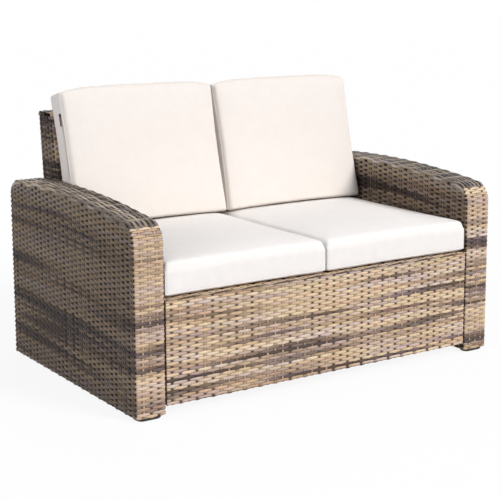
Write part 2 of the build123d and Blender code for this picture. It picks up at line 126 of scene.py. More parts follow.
# The back panel's shape
BACK_TOP_ROUND = 0.014
BACK_SIDE_ROUND = 0.004
BACK_TOP_THICKNESS = 0.090
BACK_FRONT_LEAN = math.radians(9)
BACK_REAR_LEAN = math.radians(5)
BACK_TOP_SAMPLES = 15
END_STAKES = 4

# The skirt's and the deck's shape
SKIRT_EDGE_ROUND = 0.003
SKIRT_SECTION_SAMPLES = 61
DECK_SECTION_SAMPLES = 31
RIM_INSET = 0.0006
RIM_DROP = 0.0018
RIM_RADIUS = 0.0014
RIM_WIDTH = 0.0040
RIM_TURN = 0.100
RIM_STRANDS = 3
RIM_END_GAP = 0.002
RIM_SAMPLES = 700

# The cushions' shape, as the solids have it, and how the cover starts inside it and swells
SEAT_PAD_WIDTH = 0.516
SEAT_PAD_LENGTH = 0.582
SEAT_PAD_MIDDLE = -0.091
SEAT_PAD_BOXING = 0.062
SEAT_PAD_CROWN = 0.034
BACK_PAD_LENGTH = 0.4053
BACK_PAD_MIDDLE = 0.1773
BACK_PAD_FOOT_Y = 0.20307
BACK_PAD_BOXING = 0.056
BACK_PAD_CROWN = 0.030
BACK_PAD_ARCH = 0.016
BACK_PAD_LEAN = math.radians(13.5)
PAD_PLACE_X = 0.2595
PAD_CORNER_RADIUS = 0.026
PAD_DRAW_IN = 0.004
PAD_CROWN_REACH_SHARE = 0.30
SEAT_PAD_FULLNESS = 0.38
BACK_PAD_FULLNESS = 0.5
LOWER_EDGE_HEIGHT = 0.012
LOWER_EDGE_INSET = 0.009
PAD_START_INSET = 0.0045
PAD_SIDE_INSET = 0.0009
PAD_SIDE_SHARE = 0.35
PAD_CORNER_START = 0.005
ARCH_SQUARENESS = 5
PAD_STEP = 0.0085
PAD_STEP_CROWDING = 0.16
BOXING_STEPS = 8
WRAP_DROP = 0.006
WRAP_REACH = 0.050
WRAP_ROUND = 0.012
FOOT_REACH = 0.10
PAD_SWELL_CAP = 0.0042
PAD_SINK_CAP = 0.0040
PAD_SLIDE_CAP = 0.0020
PAD_PRESSURE = 4.0
PAD_FRAMES = 20
CLOTH_QUALITY = 5
SWELL_PERCENTILE = 90
SEAM_SHRINK_SHARE = 0.06
SEAM_GROOVE = 0.0012
SEAM_CORD = 0.0011
SEAM_CORD_RISE = 0.3 * SEAM_CORD
SEAM_CREASE = 0.7
RIPPLE_HEIGHT = 0.0008
RIPPLE_WAVES = 5
PUCKER_HEIGHT = 0.0005
PUCKER_REACH = 0.012
REST_GAP = 0.0003

# Zips: on the rear side of a seat cushion and on the outer side of a back cushion, as the solids have them
ZIP_WIDTH = 0.010
ZIP_TAPE_WIDTH = 0.0042
ZIP_TAPE_THICKNESS = 0.0007
ZIP_THICKNESS = 0.0014
ZIP_SAMPLES = 41
ZIP_TOOTH_PITCH = 0.0026
ZIP_TOOTH = (0.0008, 0.0013, 0.0006)
ZIP_TOOTH_SHIFT = 0.0006
ZIP_BED = 0.009
ZIP_BED_FADE = 0.011
SEAT_ZIP_LENGTH = 0.400
BACK_ZIP_LENGTH = 0.190
BACK_ZIP_FROM_TOP = 0.062

# The slider: its plates' widths from nose to tail, their heights as shares of its thickness, and its bridge
SLIDER_LENGTH = 0.012
SLIDER_WIDTH = 0.008
SLIDER_THICKNESS = 0.0034
SLIDER_SHARES = np.array([0.62, 0.86, 0.97, 1.0, 0.97, 0.86, 0.74, 0.66, 0.60, 0.46])
SLIDER_PLATES = (
    (0.0, 0.24, 1.0, 0.0, 1.0),
    (0.24, 0.48, 0.45, 0.1, 0.8),
    (0.48, 0.70, 1.0, 0.0, 1.0),
)
BRIDGE_SECTION = (0.0022, -0.0003, 0.0003, 0.0001)
BRIDGE_MIDDLE = 0.5
BRIDGE_HALF_SPAN = 0.38
BRIDGE_LOW = 0.62
BRIDGE_RISE = 0.30
BRIDGE_SAMPLES = 9
PULL_LENGTH = 0.026
PULL_WIDTH = 0.006
PULL_THICKNESS = 0.0014
PULL_EDGE = 0.0009
PULL_RAIL_WIDTH = 0.0018
PULL_BAR_WIDTH = 0.0022
PULL_BARS = (0.30, 0.62)
PULL_CHAMFER = 0.0003
PULL_END_SAMPLES = 7
SHARP_TURN = math.radians(50)

# Glides: low pads with round ends, and the plugs that hold them in the legs. Pairs are inset and height
GLIDE_WIDTH = 0.072
GLIDE_LENGTH = 0.036
GLIDE_SET_BACK = 0.004
GLIDE_PROFILE = (
    (0.0052, 0.0), (0.0024, 0.0007), (0.0007, 0.0024), (0.0, 0.0048), (0.0, 0.0112), (0.0008, 0.012)
)
GLIDE_END_SAMPLES = 17
PLUG_INSET = 0.0127
PLUG_RADIUS = 0.0078
PLUG_PROFILE = ((0, 0.011), (0, 0.031), (0.001, 0.032))

# Strand colours by place on a ramp, as they look on a screen, and the tints that are multiplied in
ROW_COLOURS = (
    (0.00, (92, 80, 76)),
    (0.18, (114, 100, 95)),
    (0.30, (146, 128, 118)),
    (0.42, (184, 162, 144)),
    (0.58, (208, 183, 160)),
    (0.78, (218, 195, 170)),
    (1.00, (230, 211, 188)),
)
ARM_TOP_COLOURS = (
    (0.00, (78, 71, 68)),
    (0.25, (104, 96, 91)),
    (0.50, (136, 127, 119)),
    (0.75, (160, 149, 139)),
    (1.00, (184, 171, 157)),
)
STAKE_COLOURS = (
    (0.00, (78, 66, 58)),
    (0.50, (98, 84, 74)),
    (0.56, (186, 165, 142)),
    (1.00, (206, 186, 163)),
)
TINTS = (
    (0.28, (255, 242, 231)),
    (0.42, (254, 250, 232)),
    (0.58, (250, 248, 250)),
    (0.72, (238, 236, 252)),
)

# Seeds that give each resin a pattern of its own
SEEDS = {
    "arm_left_resin": 11.0,
    "arm_right_resin": 23.0,
    "arm_left_top_resin": 82.0,
    "arm_right_top_resin": 84.0,
    "arm_left_stake_resin": 30.0,
    "arm_right_stake_resin": 32.0,
    "skirt_resin": 41.0,
    "skirt_stake_resin": 43.0,
    "back_resin": 53.0,
    "back_stake_resin": 59.0,
    "deck_resin": 71.0,
    "deck_stake_resin": 77.0,
    "rim_resin_0": 91.0,
    "rim_resin_1": 92.0,
    "rim_resin_2": 93.0,
}

# How colours run in bands of rows: the bands' share, the noise's low and high end, and the change per row
ROW_BANDS = (0.5, 0.32, 0.66, 0.29)
ARM_BANDS = (0.62, 0.28, 0.70, 0.19)
ARM_TOP_BANDS = (0.35, 0.32, 0.66, 0.29)
SKIRT_BANDS = (0.5, 0.28, 0.63, 0.47)
STAKE_BANDS = (0.0, 0.30, 0.70, 0.29)
RIM_BANDS = (0.0, 0.32, 0.66, 0.29)

# Noise on the strands: scale along a strand, scale from row to row, offset and detail
BAND_ALONG = 1.3
BAND_OFFSET = 0.37
SINGLE_NOISE = (3.1, 5.37, 7.61, 0.0)
TINT_NOISE = (4.3, 3.71, 15.23, 0.0)
FIBRE_NOISE = (38.0, 9.13, 3.17, 3.0)
FIBRE_RANGE = (0.25, 0.75, 0.86, 1.14)

# How far up the ramp the rows near an arm's shoulders, an arm's top edge and the skirt's brow go. A pair is
# the row where that starts and the row where it is whole, counted from an arm's or the skirt's last row
PALE_ROW_LIFT = 0.35
SHOULDER_ROWS = np.array([-9.0, -3.0])
ARM_EDGE_ROWS = np.array([3.0, 1.0])
BROW_ROWS = np.array([-12.0, -6.0])

# Painted shade: how a strand darkens at its edges, where the rows meet, and in its dips under a stake: from,
# to, and the values there
EDGE_SHADE_RANGE = (0.70, 1.0, 1.0, 0.86)
DIP_SHADE_RANGE = (-1.0, -0.2, 0.46, 1.0)

# Painted shade on faces that look sideways: where it starts, how much darker they are painted, and the power
# there that deepens the painted shade of the edges and dips
FLANK_SHADE_START = 0.6
ROW_FLANK_SHADE = (0.335, 6.0)
TOP_FLANK_SHADE = (1.0, 1.5)

STRAND_ROUGHNESS = 0.5
STRAND_SPECULAR = 0.12
STRAND_GROOVES = 14.0
STRAND_GROOVE_DEPTH = 0.0002

# Cloth: threads per metre, slubs both ways, mottling, and the tones that they give
THREADS_PER_METRE = 5200.0
SLUB_SCALES = ((900, 30, 900), (30, 900, 30))
MOTTLE_SCALE = (26, 26, 26)
SLUB_TONES = (0.7, 1.3, 0.48, 0.52)
MOTTLE_TONES = (0.3, 0.7, 0.488, 0.506)
CLOTH_THREAD_DEPTH = 0.00012
CLOTH_ROUGHNESS = 0.85
CLOTH_SPECULAR = 0.2
CLOTH_SHEEN = 0.08
# One fabric in two tones: the seat cloth is paler, as painted light, and the back cloth darker, as painted
# shade, for how brightly each cushion is lit
SEAT_CLOTH_LIT_TONE = (246, 242, 238)
BACK_CLOTH_SHADED_TONE = (235, 228, 221)
ZIP_CLOTH = (228, 220, 208)

# Plain finishes: name, colour, roughness, metal, and the scale and depth of the bump
MOTTLE_DEPTH = 0.82
FINE_BUMP_STRENGTH = 0.6
FINISHES = {
    "steel_tube": ("powder_coat", (58, 46, 40), 0.55, 0.0, 900.0, 0.0002),
    "glide": ("moulded_black", (24, 23, 22), 0.5, 0.0, 500.0, 0.0001),
    "fastener": ("zinc_plate", (168, 170, 172), 0.35, 1.0, 1200.0, 0.00005),
    "wicker": ("weave_backing", (60, 48, 40), 0.8, 0.0, 300.0, 0.0002),
    "cushion_cover": ("cover_cloth", (238, 232, 220), 0.9, 0.0, 1500.0, 0.0002),
    "cushion_foam": ("foam", (236, 230, 206), 0.95, 0.0, 700.0, 0.0006),
    "zip_tape": ("zip_cloth", (226, 218, 202), 0.8, 0.0, 1500.0, 0.0002),
    "zip_slider": ("bronze_plate", (92, 70, 50), 0.4, 1.0, 1500.0, 0.00005),
}
ZIP_METAL = ("zip_bronze", (66, 48, 36), 0.42, 1.0, 1500.0, 0.00005)
GLIDE_PLASTIC = ((30, 28, 27), 0.5, 0.0, 500.0, 0.0001)


# Small helpers
def unit(vectors):
    return vectors / np.maximum(np.linalg.norm(vectors, axis=-1, keepdims=True), 1e-12)


def columns(*parts):
    """Numbers and rows of numbers as the columns of one array."""
    return np.column_stack(np.broadcast_arrays(*parts))


def distances(line):
    """Distance along a line of points to each of them."""
    return np.concatenate([[0], np.cumsum(np.linalg.norm(np.diff(line, axis=0), axis=1))])


def placed(name, data):
    """A new object in the scene."""
    made = bpy.data.objects.new(name, data)
    bpy.context.scene.collection.objects.link(made)
    return made


def smooth_mesh(name, points, faces, attributes=None):
    """An object made of quads, shaded smooth, with vector attributes on its points."""
    mesh = bpy.data.meshes.new(name)
    mesh.vertices.add(len(points))
    mesh.vertices.foreach_set("co", np.asarray(points, np.float32).ravel())
    corners = np.asarray(faces, np.int32)
    mesh.loops.add(corners.size)
    mesh.loops.foreach_set("vertex_index", corners.ravel())
    mesh.polygons.add(len(corners))
    mesh.polygons.foreach_set("loop_start", np.arange(0, corners.size, corners.shape[1], dtype=np.int32))
    mesh.update(calc_edges=True)
    mesh.shade_smooth()
    for key, values in (attributes or {}).items():
        layer = mesh.attributes.new(key, "FLOAT_VECTOR", "POINT")
        layer.data.foreach_set("vector", np.asarray(values, np.float32).ravel())
    mesh.validate()
    return placed(name, mesh)


def dressed(piece, material, body, replaced):
    """Gives a piece its material, its body and the nodes that it stands for."""
    piece.data.materials.append(material)
    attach(piece, body)
    if replaced:
        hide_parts(*replaced)
    return piece


def vertex_values(mesh, key):
    """Every point's place, with the key co, or its normal."""
    values = np.zeros(len(mesh.vertices) * 3, np.float32)
    mesh.vertices.foreach_get(key, values)
    return values.reshape(-1, 3).astype(float)


# Tubes: rings of points along a line, and the faces between them
def directions(line, closed):
    """Unit directions along a line of points."""
    if closed:
        return unit(np.roll(line, -1, 0) - np.roll(line, 1, 0))
    return unit(np.gradient(line, axis=0))


def rings_along(line, across, lead, section, widths):
    """A ring round each point of a line. The section's pairs are shares of the width there, and the lead."""
    spread = section[None, :, :1] * np.reshape(widths, (-1, 1, 1))
    return line[:, None] + across[:, None] * spread + lead[:, None] * section[None, :, 1:]


def walls(count, sides, closed):
    """Quads between neighbouring rings."""
    starts = np.arange(count if closed else count - 1)[:, None] * sides
    nexts = (starts + sides) % (count * sides)
    side = np.arange(sides)
    following = (side + 1) % sides
    return np.stack([starts + side, starts + following, nexts + following, nexts + side], -1).reshape(-1, 4)


def tube(rings, closed=False):
    """A solid through rings whose points mirror each other from their two ends inward."""
    count, sides = rings.shape[:2]
    faces = [walls(count, sides, closed)]
    if not closed:
        cap = np.array([[k, k + 1, sides - 2 - k, sides - 1 - k] for k in range(sides // 2 - 1)])
        faces += [cap[:, ::-1], cap + (count - 1) * sides]
    return rings.reshape(-1, 3), np.concatenate(faces)


def sweep(path, section, lead, closed=False, widths=1.0):
    """A solid strip or cord along a line. The section's pairs are across the line and along the lead."""
    path = np.asarray(path, float)
    along = directions(path, closed)
    lead = np.broadcast_to(np.asarray(lead, float), path.shape)
    lead = unit(lead - np.sum(lead * along, 1, keepdims=True) * along)
    rings = rings_along(path, np.cross(along, lead), lead, np.asarray(section, float), widths)
    points, faces = tube(rings, closed)
    return points, faces[:, [0, 3, 2, 1]]


def round_section(radius, sides=6):
    angle = np.arange(sides) * 2 * math.pi / sides
    return columns(np.cos(angle) * radius, np.sin(angle) * radius)


def strip_section(width, low, high, chamfer):
    """A flat strip between two heights, its four edges chamfered."""
    half, inner = width / 2, width / 2 - chamfer
    right = [(half, low + chamfer), (half, high - chamfer), (inner, high)]
    return right + [(-x, z) for x, z in right[::-1]] + [(-inner, low), (inner, low)]


def joined(name, parts, material, body, replaced=()):
    """One piece from several lots of points and faces."""
    points, faces, base = [], [], 0
    for part_points, part_faces in parts:
        points.append(part_points)
        faces.append(np.asarray(part_faces) + base)
        base += len(part_points)
    points = np.concatenate(points)
    piece = smooth_mesh(name, points, np.concatenate(faces), {"cloth": points})
    piece.data.set_sharp_from_angle(angle=SHARP_TURN)
    return dressed(piece, material, body, replaced)


# Strand meshes
class Strand:
    """One flat strand: its middle line on the surface, the surface's normals, its width and how it waves."""

    def __init__(self, points, normals, width, lift, number, closed=False, thickness=STRAND_THICKNESS):
        self.points = points
        self.normals = unit(np.broadcast_to(np.asarray(normals, float), points.shape))
        self.width = np.broadcast_to(width, len(points))
        self.lift = np.broadcast_to(lift, len(points))
        self.number = number
        self.closed = closed
        self.thickness = thickness
        self.dip = np.ones(len(points))
        if np.ptp(self.lift) > 0:
            self.dip = self.lift / WAVE_HEIGHT
            self.width = self.width * (1 + STRAND_SPREAD * np.abs(self.dip))


def stake(points, normals, number):
    """One stake, which the rows pass over and under."""
    return Strand(points, normals, STAKE_WIDTH, 0, number, thickness=STAKE_THICKNESS)


def strand_mesh(name, strands):
    """All the strands of one panel as one mesh of closed ribbons, with each point's place along its strand
    and row number, and its share across the strand, its dip and how far it faces sideways."""
    points, faces, places, weaves, base = [], [], [], [], 0
    sides = len(SECTION_ACROSS_SHARES)
    for strand in strands:
        count = len(strand.points)
        across = unit(np.cross(directions(strand.points, strand.closed), strand.normals))
        middle = strand.points + strand.normals * strand.lift[:, None]
        section = columns(SECTION_ACROSS_SHARES / 2, SECTION_HEIGHT_SHARES * strand.thickness / 2)
        points.append(rings_along(middle, across, strand.normals, section, strand.width).reshape(-1, 3))
        run = distances(strand.points)
        place = columns(run, 0, strand.number)
        if strand.closed:
            circle = 2 * math.pi / (run[-1] + np.linalg.norm(strand.points[0] - strand.points[-1]))
            place = columns(np.cos(run * circle) / circle, np.sin(run * circle) / circle, strand.number)
        places.append(np.repeat(place, sides, axis=0))
        facing = np.repeat(columns(strand.dip, np.abs(strand.normals[:, 0])), sides, axis=0)
        weaves.append(columns(np.tile(SECTION_ACROSS_SHARES, count), *facing.T))
        faces.append(walls(count, sides, strand.closed) + base)
        if not strand.closed:
            faces += [-STRAND_END % sides + base, STRAND_END + base + (count - 1) * sides]
        base += count * sides
    attributes = {"strand": np.concatenate(places), "weave": np.concatenate(weaves)}
    return smooth_mesh(name, np.concatenate(points), np.concatenate(faces), attributes)


def wave(stake_number, row_number):
    """Height of a row as it passes over and under the stakes, which lie at whole numbers."""
    swing = np.cos(np.pi * (stake_number + row_number))
    return WAVE_HEIGHT * np.sign(swing) * np.abs(swing) ** WAVE_POWER


def fine_steps(first, last):
    """Stake numbers from first to last, in the row's sampling steps."""
    count = int(round((last - first) * SAMPLES_PER_STAKE)) + 1
    return np.linspace(first, last, count)


class Path:
    """A flat path, read by distance along it. Its runs are lines, as start, end and outward normal, and
    arcs, as centre, radius, start angle and end angle."""

    def __init__(self, *runs):
        self.runs = []
        self.length = 0.0
        for run in runs:
            size = math.dist(run[0], run[1]) if len(run) == 3 else abs(run[3] - run[2]) * run[1]
            self.runs.append((self.length, size, run))
            self.length += size

    def at(self, places):
        """Points and outward normals at distances along the path."""
        places = np.asarray(places, float)
        points, normals = np.zeros((2, len(places), 2))
        for start, size, run in self.runs:
            inside = (places >= start - 1e-9) & (places <= start + size + 1e-9)
            share = (places[inside] - start)[:, None] / max(size, 1e-12)
            if len(run) == 3:
                first, last, normals[inside] = (np.array(item, float) for item in run)
                points[inside] = first + (last - first) * share
            else:
                centre, radius, first, last = run
                angle = first + (last - first) * share[:, 0]
                normals[inside] = columns(np.cos(angle), np.sin(angle))
                points[inside] = centre + radius * normals[inside]
        return points, normals


def loop_path(half_x, y_front, y_rear, radius):
    """A rounded rectangle seen from above, from the middle of its rear face round by the right."""
    inner, front, rear = half_x - radius, y_front + radius, y_rear - radius
    return Path(
        ((0, y_rear), (inner, y_rear), (0, 1)),
        ((inner, rear), radius, 0.5 * math.pi, 0),
        ((half_x, rear), (half_x, front), (1, 0)),
        ((inner, front), radius, 0, -0.5 * math.pi),
        ((inner, y_front), (-inner, y_front), (0, -1)),
        ((-inner, front), radius, 1.5 * math.pi, math.pi),
        ((-half_x, front), (-half_x, rear), (-1, 0)),
        ((-inner, rear), radius, math.pi, 0.5 * math.pi),
        ((-inner, y_rear), (0, y_rear), (0, 1)),
    )


def loop_stakes(path, half_x, y_front, y_rear, radius, end_places, side_places):
    """Distances along a loop path of its stakes. The ends' places are X, the sides' are Y."""
    quarter = radius * math.pi / 2
    inner = half_x - radius
    to_right = inner + quarter
    to_front = to_right + (y_rear - y_front - 2 * radius) + quarter
    to_left = to_front + 2 * inner + quarter
    end_places, side_places = sorted(end_places), sorted(side_places)
    stakes = [place for place in end_places if place >= 0]
    stakes += [to_right + (y_rear - radius - place) for place in side_places[::-1]]
    stakes += [to_front + (inner - place) for place in end_places[::-1]]
    stakes += [to_left + (place - y_front - radius) for place in side_places]
    stakes += [path.length + place for place in end_places if place < 0]
    return np.array(stakes)


def loop_row(path, stakes, row):
    """Distances, and the wave, all round a closed loop with an even number of stakes."""
    count = len(stakes)
    extended = np.append(stakes, stakes[0] + path.length)
    numbers = np.arange(count * SAMPLES_PER_STAKE) / SAMPLES_PER_STAKE
    places = np.interp(numbers, np.arange(count + 1), extended) % path.length
    return places, wave(numbers, row)


def section_rows(section):
    """Middles and outward normals of the rows that fill a section, and their pitch."""
    count = int(round(section.length / STRAND_PITCH))
    pitch = section.length / count
    middles, leans = section.at((np.arange(count) + 0.5) * pitch)
    return middles, leans, pitch


# Arms
arm_low, arm_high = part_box("arm_right_weave")
arm_middle = (arm_low.x + arm_high.x) / 2
arm_half_width = (arm_high.x - arm_low.x) / 2
arm_bottom, arm_crest = arm_low.z - ARM_HEM_DROP, arm_high.z
arm_base = arm_bottom + EDGE_ALLOWANCE
big_centre = np.array([ARM_CREST_PLACE, arm_crest - ARM_TOP_RADIUS])
arm_rows = int(round((arm_crest - ARM_EDGE_ROUND / 2 - arm_bottom) / STRAND_PITCH))
arm_side_stakes = [STAKE_PITCH * k for k in range(-ARM_STAKES_EACH_WAY, ARM_STAKES_EACH_WAY + 1)]


def corner_centre(y, radius):
    """Centre of the round that joins the arm's arched top to its upright end."""
    reach = ARM_TOP_RADIUS - radius
    return np.array([y, big_centre[1] + math.sqrt(reach**2 - (y - ARM_CREST_PLACE) ** 2)])


front_corner = corner_centre(arm_low.y + ARM_FRONT_CORNER, ARM_FRONT_CORNER)
rear_corner = corner_centre(arm_high.y - ARM_REAR_CORNER, ARM_REAR_CORNER)
arm_ends = (
    (front_corner, ARM_FRONT_CORNER, -1),
    (rear_corner, ARM_REAR_CORNER, 1),
)


def arch_height(y):
    """Height of the arms' arched top, moved in by the edge round."""
    return big_centre[1] + np.sqrt((ARM_TOP_RADIUS - ARM_EDGE_ROUND) ** 2 - (y - ARM_CREST_PLACE) ** 2)


def arm_loop(share):
    """Where one row turns at the arm's front and rear: its Y, its Z and how far its face has turned up."""
    ends = []
    for corner, radius, direction in arm_ends:
        upright = corner[1] - arm_base
        reach = share * (upright + radius * SHOULDER_TURN)
        turn = max(reach - upright, 0) / radius
        y = corner[0] + direction * (radius - ARM_EDGE_ROUND) * math.cos(turn)
        z = min(arm_base + reach, corner[1] + radius * math.sin(turn)) - ARM_EDGE_ROUND * math.sin(turn)
        ends.append((y, z, turn))
    return ends


def arm_row(share):
    """A row's plan round the arm, and where its stakes lie along it."""
    (y_front, _, _), (y_rear, _, _) = arm_loop(share)
    plan = (arm_half_width, y_front - ARM_EDGE_ROUND, y_rear + ARM_EDGE_ROUND, ARM_EDGE_ROUND)
    path = loop_path(*plan)
    return path, loop_stakes(path, *plan, ARM_FRONT_STAKES, arm_side_stakes)


def arm_line(share, places):
    """A row's points and normals at distances round the arm. Its plan is lifted onto the arm: arched along
    the sides, and turned up over the shoulders."""
    flat, normals = arm_row(share)[0].at(places)
    ends = arm_loop(share)
    y = flat[:, 1]
    side_y = np.clip(y, ends[0][0], ends[1][0])
    height = arm_base + share * (arch_height(side_y) - arm_base)
    for edge_y, edge_z, _ in ends:
        gap = edge_z - (arm_base + share * (arch_height(edge_y) - arm_base))
        near = np.clip(1 - np.abs(side_y - edge_y) / SHOULDER_REACH, 0, 1)
        height = height + gap * near**2
    points = columns(*flat.T, height)
    turned = columns(*normals.T, 0.0)
    for (edge_y, edge_z, turn), beyond in zip(ends, (y < ends[0][0], y > ends[1][0])):
        offset = y[beyond] - edge_y
        points[beyond, 1] = edge_y + offset * math.cos(turn)
        points[beyond, 2] = edge_z + np.abs(offset) * math.sin(turn)
        turned[beyond, 1] = normals[beyond, 1] * math.cos(turn)
        turned[beyond, 2] = np.abs(normals[beyond, 1]) * math.sin(turn)
    return points, turned


def arm_side_strands(side, rows):
    """Rows that run all round an arm, from the ground up to its shoulders."""
    strands = []
    for row in rows:
        share = (row + 0.5) / arm_rows
        places, lift = loop_row(*arm_row(share), row)
        points, turned = arm_line(share, places)
        upper, lower = (arm_line(number / arm_rows, places)[0][:, 2] for number in (row + 1, row))
        pitch = np.maximum(np.abs(upper - lower), NARROWEST_ROW)
        points = points - turned * WEAVE_DEPTH + (side * arm_middle, 0, 0)
        strands.append(Strand(points, turned, pitch, lift, row, closed=True))
    return strands


def arm_outline():
    """The arm seen from the side, over its top from shoulder to shoulder. Pairs are Y and Z."""
    front_turn, rear_turn = (math.atan2(*(end[0] - big_centre)[::-1]) for end in arm_ends)
    start = SHOULDER_TURN - BAND_TUCK_TURN
    return Path(
        (front_corner, ARM_FRONT_CORNER, math.pi - start, front_turn),
        (big_centre, ARM_TOP_RADIUS, front_turn, rear_turn),
        (rear_corner, ARM_REAR_CORNER, rear_turn, start),
    )


def arm_section():
    """Across the arm's top, from its outer side to its inner side. Pairs are X from the middle and depth."""
    half, inner, edge = arm_half_width, arm_half_width - ARM_EDGE_ROUND, -ARM_EDGE_ROUND
    return Path(
        ((-half, edge - BAND_TAIL), (-half, edge), (-1, 0)),
        ((-inner, edge), ARM_EDGE_ROUND, math.pi, math.pi / 2),
        ((-inner, 0), (inner, 0), (0, 1)),
        ((inner, edge), ARM_EDGE_ROUND, math.pi / 2, 0),
        ((half, edge), (half, edge - BAND_TAIL), (1, 0)),
    )


def outline_stakes(outline):
    """Distances along the arm's outline of the stakes that cross its top."""
    reach = np.linspace(0, outline.length, OUTLINE_SAMPLES)
    return np.interp(arm_side_stakes[1:-1], outline.at(reach)[0][:, 0], reach)


def arm_top_strands(side):
    """Rows along the top of an arm, tucked behind the rows of its two shoulders."""
    outline = arm_outline()
    crossings = outline_stakes(outline)
    numbers = fine_steps(0, len(crossings) - 1)
    places = np.interp(numbers, np.arange(len(crossings)), crossings)
    step = STAKE_PITCH / SAMPLES_PER_STAKE
    before = np.arange(0, crossings[0], step)
    after = np.arange(outline.length, crossings[-1], -step)[::-1]
    last = numbers[-1] + (after - crossings[-1]) / STAKE_PITCH
    numbers = np.concatenate([(before - crossings[0]) / STAKE_PITCH, numbers, last])
    places = np.concatenate([before, places, after])
    flat, turn = outline.at(places)
    tuck = np.clip(np.minimum(places, outline.length - places) / TUCK_REACH, 0, 1)
    sink = TUCK_DEPTH * (1 - tuck) ** 2
    middles, leans, pitch = section_rows(arm_section())
    strands = []
    for row, (across, lean) in enumerate(zip(middles, leans)):
        inset = sink - across[1] + WEAVE_DEPTH * lean[1]
        x = side * arm_middle + across[0] - WEAVE_DEPTH * lean[0]
        points = columns(x, *(flat - turn * inset[:, None]).T)
        normals = columns(lean[0], *(turn * lean[1]).T)
        strands.append(Strand(points, normals, pitch, wave(numbers / 2, row), arm_rows + row))
    return strands


def arm_stakes(side):
    """Upright stakes on the arm's sides, carried over its top, and those of its front and rear."""
    section, outline = arm_section(), arm_outline()
    tops, turns = outline.at(outline_stakes(outline))
    run, lean = section.at(np.linspace(0, section.length, ARM_SECTION_SAMPLES))
    over = run - lean * WEAVE_DEPTH
    x = side * arm_middle + np.pad(over[:, 0], STAKE_SAMPLES, "edge")
    facing = np.pad(lean[:, 0], STAKE_SAMPLES, constant_values=(-1, 1))
    normals = columns(facing, 0, np.pad(lean[:, 1], STAKE_SAMPLES))
    strands = []
    for number, (y, top, turn) in enumerate(zip(arm_side_stakes[1:-1], tops, turns)):
        z = top[1] + over[:, 1] / max(turn[1], LEAST_STEEPNESS)
        levels = np.linspace(arm_base, z[0], STAKE_SAMPLES + 1)[:-1]
        points = columns(x, y, np.concatenate([levels, z, levels[::-1]]))
        strands.append(stake(points, normals, PANEL_STAKE_NUMBER + number))
    for (corner, radius, direction), y in zip(arm_ends, (arm_side_stakes[0], arm_side_stakes[-1])):
        levels = np.linspace(arm_base, corner[1] + EDGE_ALLOWANCE, STAKE_SAMPLES)
        for face in (-1, 1):
            x = side * arm_middle + face * (arm_half_width - WEAVE_DEPTH)
            strands.append(stake(columns(x, y, levels), (face, 0, 0), ARM_CORNER_NUMBER + face))
        turned = np.linspace(0, SHOULDER_TURN, SHOULDER_SAMPLES + 1)[1:]
        turn = np.concatenate([np.zeros(STAKE_SAMPLES - 1), turned])
        height = np.pad(levels[:-1], (0, SHOULDER_SAMPLES), constant_values=corner[1])
        reach = radius - WEAVE_DEPTH
        y_run = corner[0] + direction * reach * np.cos(turn)
        z_run = height + reach * np.sin(turn)
        end_normals = columns(0, direction * np.cos(turn), np.sin(turn))
        for number, x in enumerate(ARM_FRONT_STAKES):
            points = columns(side * arm_middle + x, y_run, z_run)
            strands.append(stake(points, end_normals, ARM_END_NUMBER + number))
    return strands


# Skirt
skirt_low, skirt_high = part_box("skirt_weave")
skirt_half = (skirt_high.x - skirt_low.x) / 2


def skirt_section():
    """Across the skirt: under its lower rail, up its front and over its top rail. Pairs are Y and Z."""
    front, rear, low, high = skirt_low.y, skirt_high.y, skirt_low.z, skirt_high.z
    radius = SKIRT_EDGE_ROUND
    return Path(
        ((rear, low), (front + radius, low), (0, -1)),
        ((front + radius, low + radius), radius, 1.5 * math.pi, math.pi),
        ((front, low + radius), (front, high - radius), (-1, 0)),
        ((front + radius, high - radius), radius, math.pi, math.pi / 2),
        ((front + radius, high), (rear, high), (0, 1)),
    )


def straight_stakes(half_run):
    """Stake places along a straight panel, centred, with its ends clear."""
    half_count = int((half_run - STAKE_PITCH / 4) / STAKE_PITCH)
    return STAKE_PITCH * np.arange(-half_count, half_count + 1)


def straight_places(half_run):
    """Places along a straight row and the stake numbers there, ends included."""
    last = straight_stakes(half_run)[-1]
    numbers = fine_steps((last - half_run) / STAKE_PITCH, (last + half_run) / STAKE_PITCH)
    return numbers * STAKE_PITCH - last, numbers


def swept_rows(section, half_run, first_number):
    """Rows along X, spaced over a section whose pairs are Y and Z."""
    x, numbers = straight_places(half_run)
    middles, leans, pitch = section_rows(section)
    return [
        Strand(columns(x, y, z), (0, *lean), pitch, wave(numbers, row), first_number + row)
        for row, ((y, z), lean) in enumerate(zip(middles - leans * WEAVE_DEPTH, leans))
    ]


def swept_stakes(section, half_run, first_number, steps):
    """Stakes that follow a section whose pairs are Y and Z."""
    run, lean = section.at(np.linspace(0, section.length, steps))
    inward, normals = run - lean * WEAVE_DEPTH, columns(0, *lean.T)
    return [
        stake(columns(x, *inward.T), normals, first_number + number)
        for number, x in enumerate(straight_stakes(half_run))
    ]


def skirt_rim():
    """Strands twisted together along the skirt's top front edge."""
    reach = skirt_half - RIM_END_GAP
    x = np.linspace(-reach, reach, RIM_SAMPLES)
    middle = columns(x, skirt_low.y + RIM_INSET, skirt_high.z - RIM_DROP)
    strands = []
    for number in range(RIM_STRANDS):
        turn = 2 * math.pi * (x / RIM_TURN + number / RIM_STRANDS)
        spoke = columns(0, -np.cos(turn), np.sin(turn))
        strands.append(Strand(middle + spoke * RIM_RADIUS, spoke, RIM_WIDTH, 0, RIM_NUMBER + number))
    return strands


